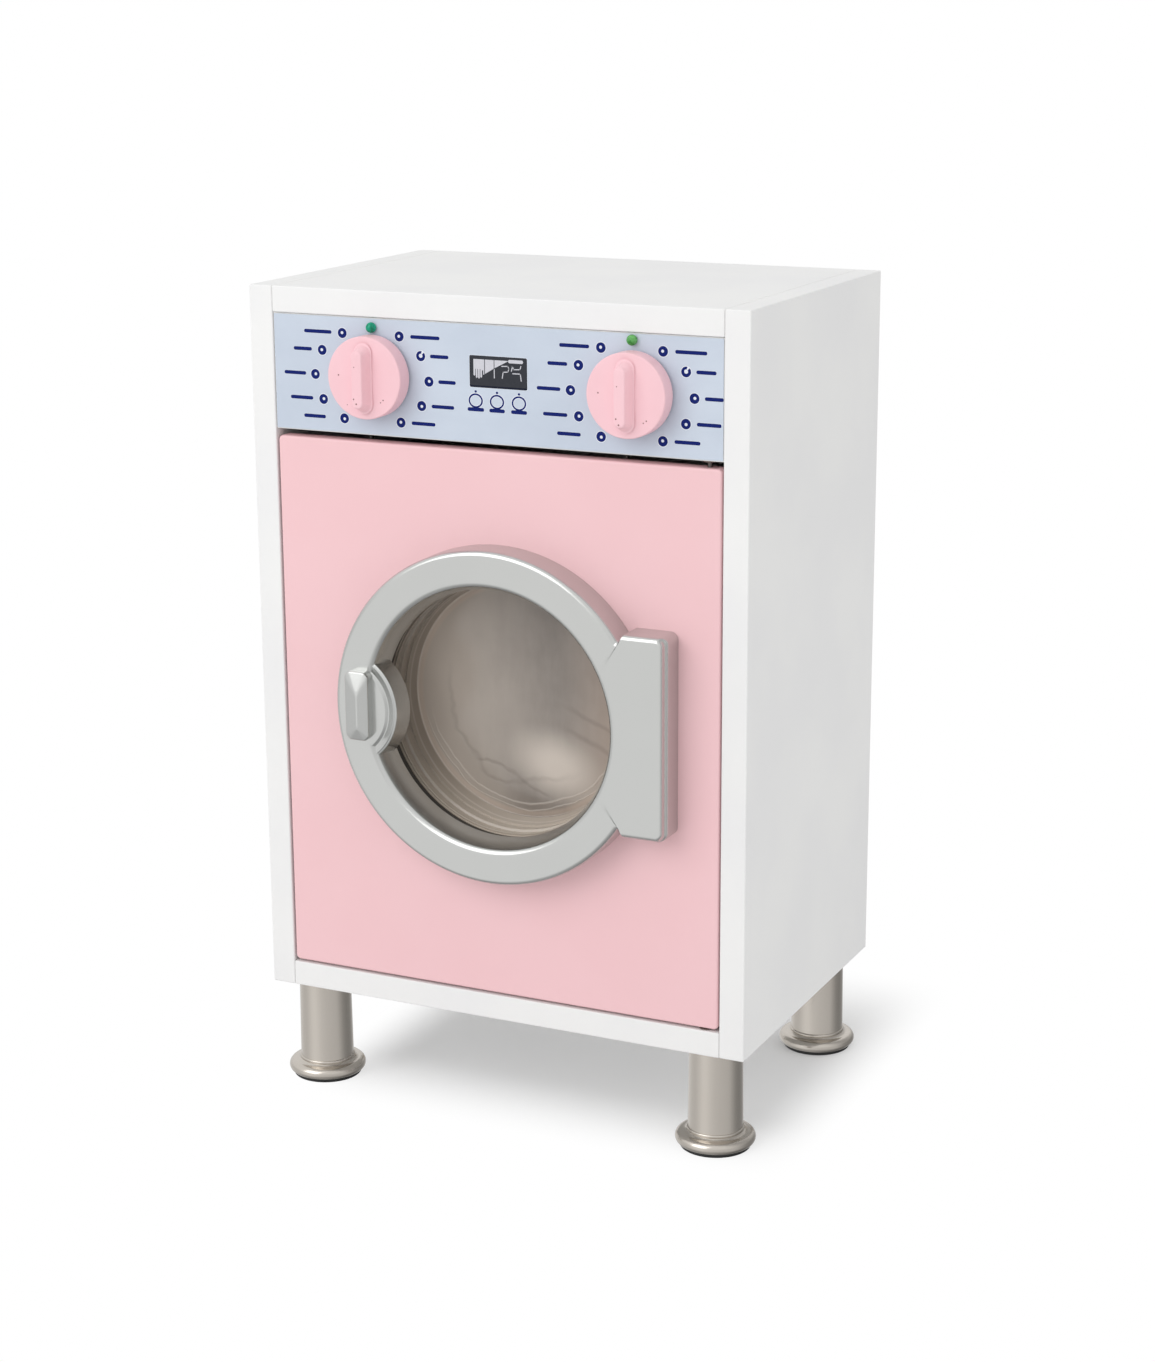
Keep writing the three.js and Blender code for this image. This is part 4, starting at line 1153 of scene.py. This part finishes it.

# %% [markdown]
# ## The window
#
# Behind the ring sits a bowl of thin smoky plastic, pressed over a former. Such thin film never
# comes out flat: it crinkles round the rim and waves a little over the disc. The bowl is turned
# with many segments, and noise moves the points of its end disc by parts of a millimetre. Its
# finish does the rest, with painted light and shade in it: one set of masks for the flat disc and
# one for the side wall, chosen by how far back a point lies. Distances in the masks are in metres
# from the middle of its mouth.

# %% The film's finish
def smoky_film(centre):
    """The window's film: smoky grey-brown, creased near its rim, with painted light and shade."""
    material, n, place = new_material("smoky plastic")
    x, y, z = n.split(place)
    x, y, z = x - centre.x, y - centre.y, z - centre.z
    radius = n.reach(x, z)
    haze = n.noise(place, 13, 4, 0.6)
    drift = n.noise(place, 30, 3) - 0.5
    streaks = n.noise(n.stretched(place, (34, 34, 8), (0, math.radians(35), 0)), 1, 5, 0.6)

    # The disc: cloudy, lighter on the left with painted light where the ring shades it, tan at its
    # right edge, and with a painted highlight in a soft patch low on the right.
    tone = n.steps(haze * 0.5 + streaks * 0.5, 0.36, 0.64)
    disc = n.mix(tone, srgb(138, 130, 123), srgb(160, 151, 143))
    # Painted light on the left of the disc, where the ring's shade falls.
    disc = n.mix((1 - n.steps(x, -0.08, 0.02)) * 0.85, disc, srgb(214, 202, 190))
    disc = n.mix(n.steps(x, 0.02, 0.075) * 0.55, disc, srgb(192, 170, 154))
    # Painted highlight: a soft light patch low on the right of the disc, where a lamp's reflection
    # shows.
    highlight_x, highlight_z = x - 0.022, z + 0.044
    highlight_reach = n.reach(highlight_x, highlight_z * 1.5 + highlight_x * 0.3)
    disc = n.mix((1 - n.steps(highlight_reach, 0.006, 0.044)) * 0.9, disc, srgb(222, 211, 200))

    # Creases: long ones that follow the rim below get painted highlights; short slanting ones on
    # the right, inner ones and curls get painted shade.
    low = n.steps(z * -1, 0.005, 0.04)
    left_low = n.steps(x * -0.7 - z, 0.01, 0.05)
    wavy = radius + drift * 0.008
    long_creases_and_highlights = (n.line(wavy, 0.0715, 0.0011) + n.line(wavy, 0.0755, 0.0008)) * low
    inner_creases = n.line(wavy + drift * 0.02, 0.0585, 0.0034) * left_low
    slant = n.line(z + x * 0.45 + drift * 0.012 + 0.005, 0, 0.0034)
    slant = slant + n.line(z + x * 0.4 + drift * 0.014 - 0.009, 0, 0.003)
    slant_shade = slant * n.steps(x, 0.022, 0.04)
    curls = n.line(z + x * 0.32 + drift * 0.022 + 0.056, 0, 0.0026)
    curls = curls * (n.steps(x, -0.042, -0.03) - n.steps(x, 0.012, 0.022))
    # Painted shade in the short, inner and curled creases; the same lines also sink the bump.
    creases_and_painted_shade = inner_creases * 0.5 + slant_shade * 0.7 + curls * 0.7
    disc = n.mix(creases_and_painted_shade * 0.32, disc, srgb(98, 88, 80))
    # Painted highlights along the long creases; the same lines also raise the bump.
    disc = n.mix(long_creases_and_highlights * 0.45, disc, srgb(222, 212, 202))

    # The side wall has painted shade: dark, most of all on the left, lighter low on the right, and
    # black where the ring shades its front.
    # Painted light and shade across the side wall, lighter towards the lower right.
    wall_painted_light = n.steps(x * 0.6 - z, -0.02, 0.09)
    wall = n.mix(wall_painted_light, srgb(146, 136, 125), srgb(202, 191, 178))
    # Painted highlight along a crease round the wall.
    wall_crease_highlight = n.line(y + drift * 0.003, 0.0275, 0.0014) * (0.15 + wall_painted_light * 0.5)
    wall = n.mix(wall_crease_highlight, wall, srgb(226, 216, 206))
    # Painted shadow: black at the front of the wall, where the ring shades it.
    wall = n.mix(1 - n.steps(y, 0.0045, 0.0065), wall, srgb(26, 24, 22))
    # Painted highlight on the disc's rounded rim.
    rim = n.line(y, 0.0362, 0.0016) * n.steps(radius, 0.075, 0.078)
    colour = n.mix(n.steps(y, 0.0335, 0.0355), wall, disc)
    colour = n.mix(rim * 0.85, colour, srgb(232, 206, 186))
    n.surface({
        "Base Color": colour,
        "Roughness": 0.1 + haze * 0.14,
        "Alpha": 0.985 - haze * 0.03,
        "Specular IOR Level": 0.5,
        "Normal": n.bump(streaks * 0.5 + long_creases_and_highlights * 0.6 - creases_and_painted_shade * 0.4, 0.3, 0.001),
    })
    return material


smoky_plastic = smoky_film(at(port_x, door_face, port_z))
print("film:", smoky_plastic.name)

# %% The window bowl
bowl_wall, bowl_flange, bowl_mouth = 1.5, 92, 84.6
bowl_end, bowl_depth, bowl_inset = 81.6, 38, 2.6
flange_back, flange_face = -0.3, -1.8
wall_steps = [(82.8, 24, 0.6), (83.4, 23.2, 0.6), (83.6, 16, 0.5)]
groove, groove_depths = 0.5, (9, 8.4, 7.4, 6.8)
disc_rings, bowl_segments = 48, 240
disc_radius = bowl_end - bowl_inset


def crinkle(x, z):
    """How far the film stands out of the disc's plane, in millimetres."""
    spot = Vector((x, 0, z))
    radius = math.hypot(x, z) / disc_radius
    waves = noise.noise(spot * 0.035) * 0.9 + noise.noise(spot * 0.09 + Vector((7, 0, 3))) * 0.35
    fold = abs(noise.noise(Vector((x * 0.11, 4.2, z * 0.11))))
    rim = smooth_step(radius, 0.72, 0.94) * (1 - smooth_step(radius, 0.985, 1.02))
    lower = smooth_step(-z / disc_radius, -0.5, 0.7)
    return waves * (1 - smooth_step(radius, 0.9, 1)) - rim * (1 - fold * 2.2) * (0.3 + lower) * 0.9


groove_radii = (bowl_mouth, bowl_mouth - groove, bowl_mouth - groove, bowl_mouth)
bowl_profile = [(0, bowl_depth)]
bowl_profile += [(disc_radius * ring / disc_rings, bowl_depth)
                 for ring in range(1, disc_rings + 1)]
bowl_profile += rounded([
    (disc_radius - 1, bowl_depth), (bowl_end, bowl_depth, bowl_inset), *wall_steps,
    (bowl_mouth, 15, 0.5),
    *[(radius, depth, 0.3) for radius, depth in zip(groove_radii, groove_depths)],
    (bowl_mouth, flange_face, 0.5), (bowl_flange, flange_face), (bowl_flange, flange_back),
    (bowl_mouth + bowl_wall, flange_back), (bowl_mouth + bowl_wall, 15),
    *[(radius + bowl_wall, depth) for radius, depth, _ in reversed(wall_steps)],
    (bowl_end + bowl_wall, bowl_depth + bowl_wall, bowl_inset + bowl_wall)], 5)[1:]
bowl_profile.append((0, bowl_depth + bowl_wall))
bowl_points, bowl_faces = turned(bowl_profile, bowl_segments, (port_x, door_face, port_z), "y")
disc_y = door_face + bowl_depth
bowl_points = [
    (x, y + crinkle(x - port_x, z - port_z) if abs(y - disc_y) < 1e-6 else y, z)
    for x, y, z in bowl_points]
make_piece("window_film", bowl_points, bowl_faces, smoky_plastic, "door", "smoky_plastic",
           ["window_bowl"], 50)
print("window bowl:", len(bowl_points), "points")

# %% [markdown]
# ## The printed marks
#
# The panel is printed in navy: five small rings on each side of each dial, set on an ellipse,
# each with a dash beside it, then a dark display and three programme signs. Ink lies on the film,
# so each mark is a very thin plate of its own, with a slightly larger white one under it where
# the print leaves a pale edge.

# %% Thin plates of ink
ink_front = {"pale": 0.87, "navy": 0.845, "panel": 0.825, "light": 0.805}
ink_back = {"pale": 0.905, "navy": 0.875, "panel": 0.85, "light": 0.83}


class Ink:
    """Collects marks of one colour and makes them into one piece."""

    def __init__(self, level):
        self.front, self.back = ink_front[level], ink_back[level]
        self.points, self.faces = [], []

    def plate(self, outline, holes=()):
        """A thin plate from an outline of (x, z) places; with a hole, both have the same count."""
        count = len(outline)
        start = len(self.points)
        loops = [outline, *holes]
        for depth in (self.front, self.back):
            for loop in loops:
                self.points += [(x, depth, z) for x, z in loop]
        layer = count * len(loops)
        for i in range(count):
            j = (i + 1) % count
            for k in range(len(loops)):
                one = start + k * count
                self.faces.append((one + i, one + j, one + layer + j, one + layer + i))
            if holes:
                for base in (start, start + layer):
                    self.faces.append((base + i, base + j, base + count + j, base + count + i))
        if not holes:
            self.faces.append(tuple(range(start, start + count)))
            self.faces.append(tuple(range(start + layer, start + layer + count)))

    def dash(self, x0, x1, z, thickness):
        half = thickness / 2
        soft = half * 0.7
        self.plate(rounded([(x0, z - half, soft), (x1, z - half, soft), (x1, z + half, soft),
                            (x0, z + half, soft)], 3))

    def ring(self, x, z, outer, inner, shift=(0, 0)):
        self.plate(circle(x, z, outer), [circle(x + shift[0], z + shift[1], inner)])

    def make(self, name, material):
        return make_piece(name, self.points, self.faces, material, "cabinet", "blue_print",
                          (), 30)


def circle(x, z, radius, start=0, end=360, count=40):
    whole = end - start == 360
    steps = count if whole else count - 1
    return [(x + radius * math.cos(math.radians(start + (end - start) * i / steps)),
             z + radius * math.sin(math.radians(start + (end - start) * i / steps)))
            for i in range(count)]


print("ink levels:", ink_front)

# %% Marks round the dials
mark_centres = [(-85.8, 424.3), (96.7, 424.9)]
ellipse_across, ellipse_up = 41.6, 31.8
mark_angles = [60, 30, 0, -30, -60]
open_ring = (1, 1)  # the side and the row of the one ring with a gap
dashes = {
    1: [(29.4, 49.2), (43.3, 55.3), (49.0, 60.2), (43.8, 58.8), (29.1, 45.1)],
    -1: [(29.3, 48.5), (44.3, 56.7), (49.1, 64.2), (44.4, 60.0), (35.3, 50.4)],
}
ring_outer, ring_inner = 3.25, 0.98
ring_shifts = [(0.25, 0.2), (-0.3, 0.1), (0.1, -0.25), (0.3, 0.15), (-0.15, 0.25)]
dash_thickness, dash_lift, pale_edge = 1.15, 0.2, 0.45
gap_end, gap_start, open_inner = 75, 405, 1.3
navy, pale = Ink("navy"), Ink("pale")
for cx, cz in mark_centres:
    for side in (1, -1):
        for i, degrees in enumerate(mark_angles):
            x = cx + side * ellipse_across * math.cos(math.radians(degrees))
            z = cz + ellipse_up * math.sin(math.radians(degrees))
            pale.plate(circle(x, z, ring_outer + pale_edge))
            if (side, i) == open_ring:
                navy.plate(circle(x, z, ring_outer, gap_end, gap_start)
                           + circle(x, z + 0.2, open_inner, gap_start, gap_end))
            else:
                navy.ring(x, z, ring_outer, ring_inner, ring_shifts[(i * 2 + side) % 5])
            start, end = dashes[side][i]
            x0, x1 = sorted((cx + side * start, cx + side * end))
            dash_z = z + dash_lift
            navy.dash(x0, x1, dash_z, dash_thickness)
            pale.dash(x0 - pale_edge, x1 + pale_edge, dash_z, dash_thickness + 2 * pale_edge)
print("marks round the dials:", 2 * 2 * len(mark_angles), "rings and as many dashes")

# %% [markdown]
# Each programme sign is an oval ring with a dot over it and a dash under it, and stands for no
# real programme.

# %% Programme signs
sign_across, sign_up, sign_line = 5.05, 4.6, 1.1
sign_height, dot_height, dash_height = 414.3, 420.1, 408.7
dot_radius, sign_dash, sign_dash_edge, inner_edge = 0.8, 1.25, 0.5, 0.35


def oval(x, change):
    """Points round a sign's oval, with its two radii changed by so many millimetres."""
    across, up = sign_across + change, sign_up + change
    turns = [2 * math.pi * i / 40 for i in range(40)]
    return [(x + across * math.cos(angle), sign_height + up * math.sin(angle)) for angle in turns]


for x, length in ((-11.0, 10.6), (4.0, 9.8), (19.4, 10.0)):
    pale.plate(oval(x, pale_edge), [oval(x, -sign_line - inner_edge)])
    navy.plate(oval(x, 0), [oval(x, -sign_line)])
    navy.plate(circle(x + 0.1, dot_height, dot_radius, count=12))
    navy.dash(x - length / 2, x + length / 2, dash_height, sign_dash)
    pale.dash(x - length / 2 - sign_dash_edge, x + length / 2 + sign_dash_edge, dash_height,
              sign_dash + 2 * sign_dash_edge)
navy.make("navy_print", navy_ink)
print("signs on the panel:", 3)

# %% [markdown]
# The display is three plates on each other: a nearly black frame, a dark grey window in it, and
# pale shapes on that, as a lit display shows them. The shapes are plain strokes that spell nothing.

# %% The display
display_left, display_right, display_low, display_high = -15.9, 26.2, 421.9, 443.8
display_edge = 0.9


def round_box(left, right, low, high, inset):
    return rounded([(left, low, inset), (right, low, inset), (right, high, inset),
                    (left, high, inset)])


pale.plate(round_box(display_left - display_edge, display_right + display_edge,
                     display_low - display_edge, display_high + display_edge, 2.6))
pale.make("pale_print", pale_ink)
screen_frame = Ink("navy")
screen_frame.plate(round_box(display_left, display_right, display_low, display_high, 1.9))
screen_frame.make("display_frame", frame_ink)
screen = Ink("panel")
screen.plate(round_box(display_left + 1.5, display_right - 1.5, display_low + 2.4,
                       display_high - 1.4, 0.8))
screen.make("display_panel", display_ink)
light = Ink("light")
light.plate([
    (-12.2, 440.6), (-12.2, 430.6), (-11.6, 430.0), (-11.0, 430.6), (-11.0, 434.4), (-10.6, 434.4),
    (-10.6, 429.3), (-10.0, 428.6), (-9.4, 429.3), (-9.4, 434.4), (-9.0, 434.4), (-9.0, 429.0),
    (-8.4, 428.3), (-7.8, 429.0), (-7.8, 434.4), (-7.4, 434.4), (-7.4, 429.6), (-6.8, 429.0),
    (-6.2, 429.6), (-6.2, 433.6), (-5.4, 433.8), (-5.4, 431.0), (-4.6, 431.2), (-4.6, 440.6)])
light.plate([(-4.1, 440.6), (-4.1, 431.6), (2.1, 435.2), (2.1, 440.6)])
light.plate([(2.6, 440.6), (2.6, 435.5), (12.6, 440.6)])
light.plate([(2.1, 434.6), (2.1, 429.2), (2.7, 429.2), (2.7, 434.9)])
light.dash(13.0, 21.8, 440.3, 0.55)


def stroke(line, thickness=0.6):
    """A line of (x, z) places as a row of overlapping dashes of even thickness."""
    for (x0, z0), (x1, z1) in zip(line, line[1:]):
        along = Vector((x1 - x0, z1 - z0)).normalized() * thickness / 2
        across = Vector((-along.y, along.x))
        a, b = Vector((x0, z0)) - along, Vector((x1, z1)) + along
        light.plate([tuple(a + across), tuple(a - across), tuple(b - across), tuple(b + across)])


stroke([(7.8, 437.0), (12.0, 437.2), (12.6, 435.6), (12.0, 433.6), (8.6, 433.4), (8.0, 429.6)])
stroke([(14.4, 434.4), (15.2, 437.4), (15.9, 435.4), (20.4, 435.6), (21.0, 437.6)])
stroke([(15.4, 432.8), (20.6, 432.9), (21.2, 428.6)])
light.make("display_signs", display_glow)
print("display", round(display_right - display_left, 1), "by",
      round(display_high - display_low, 1), "mm")
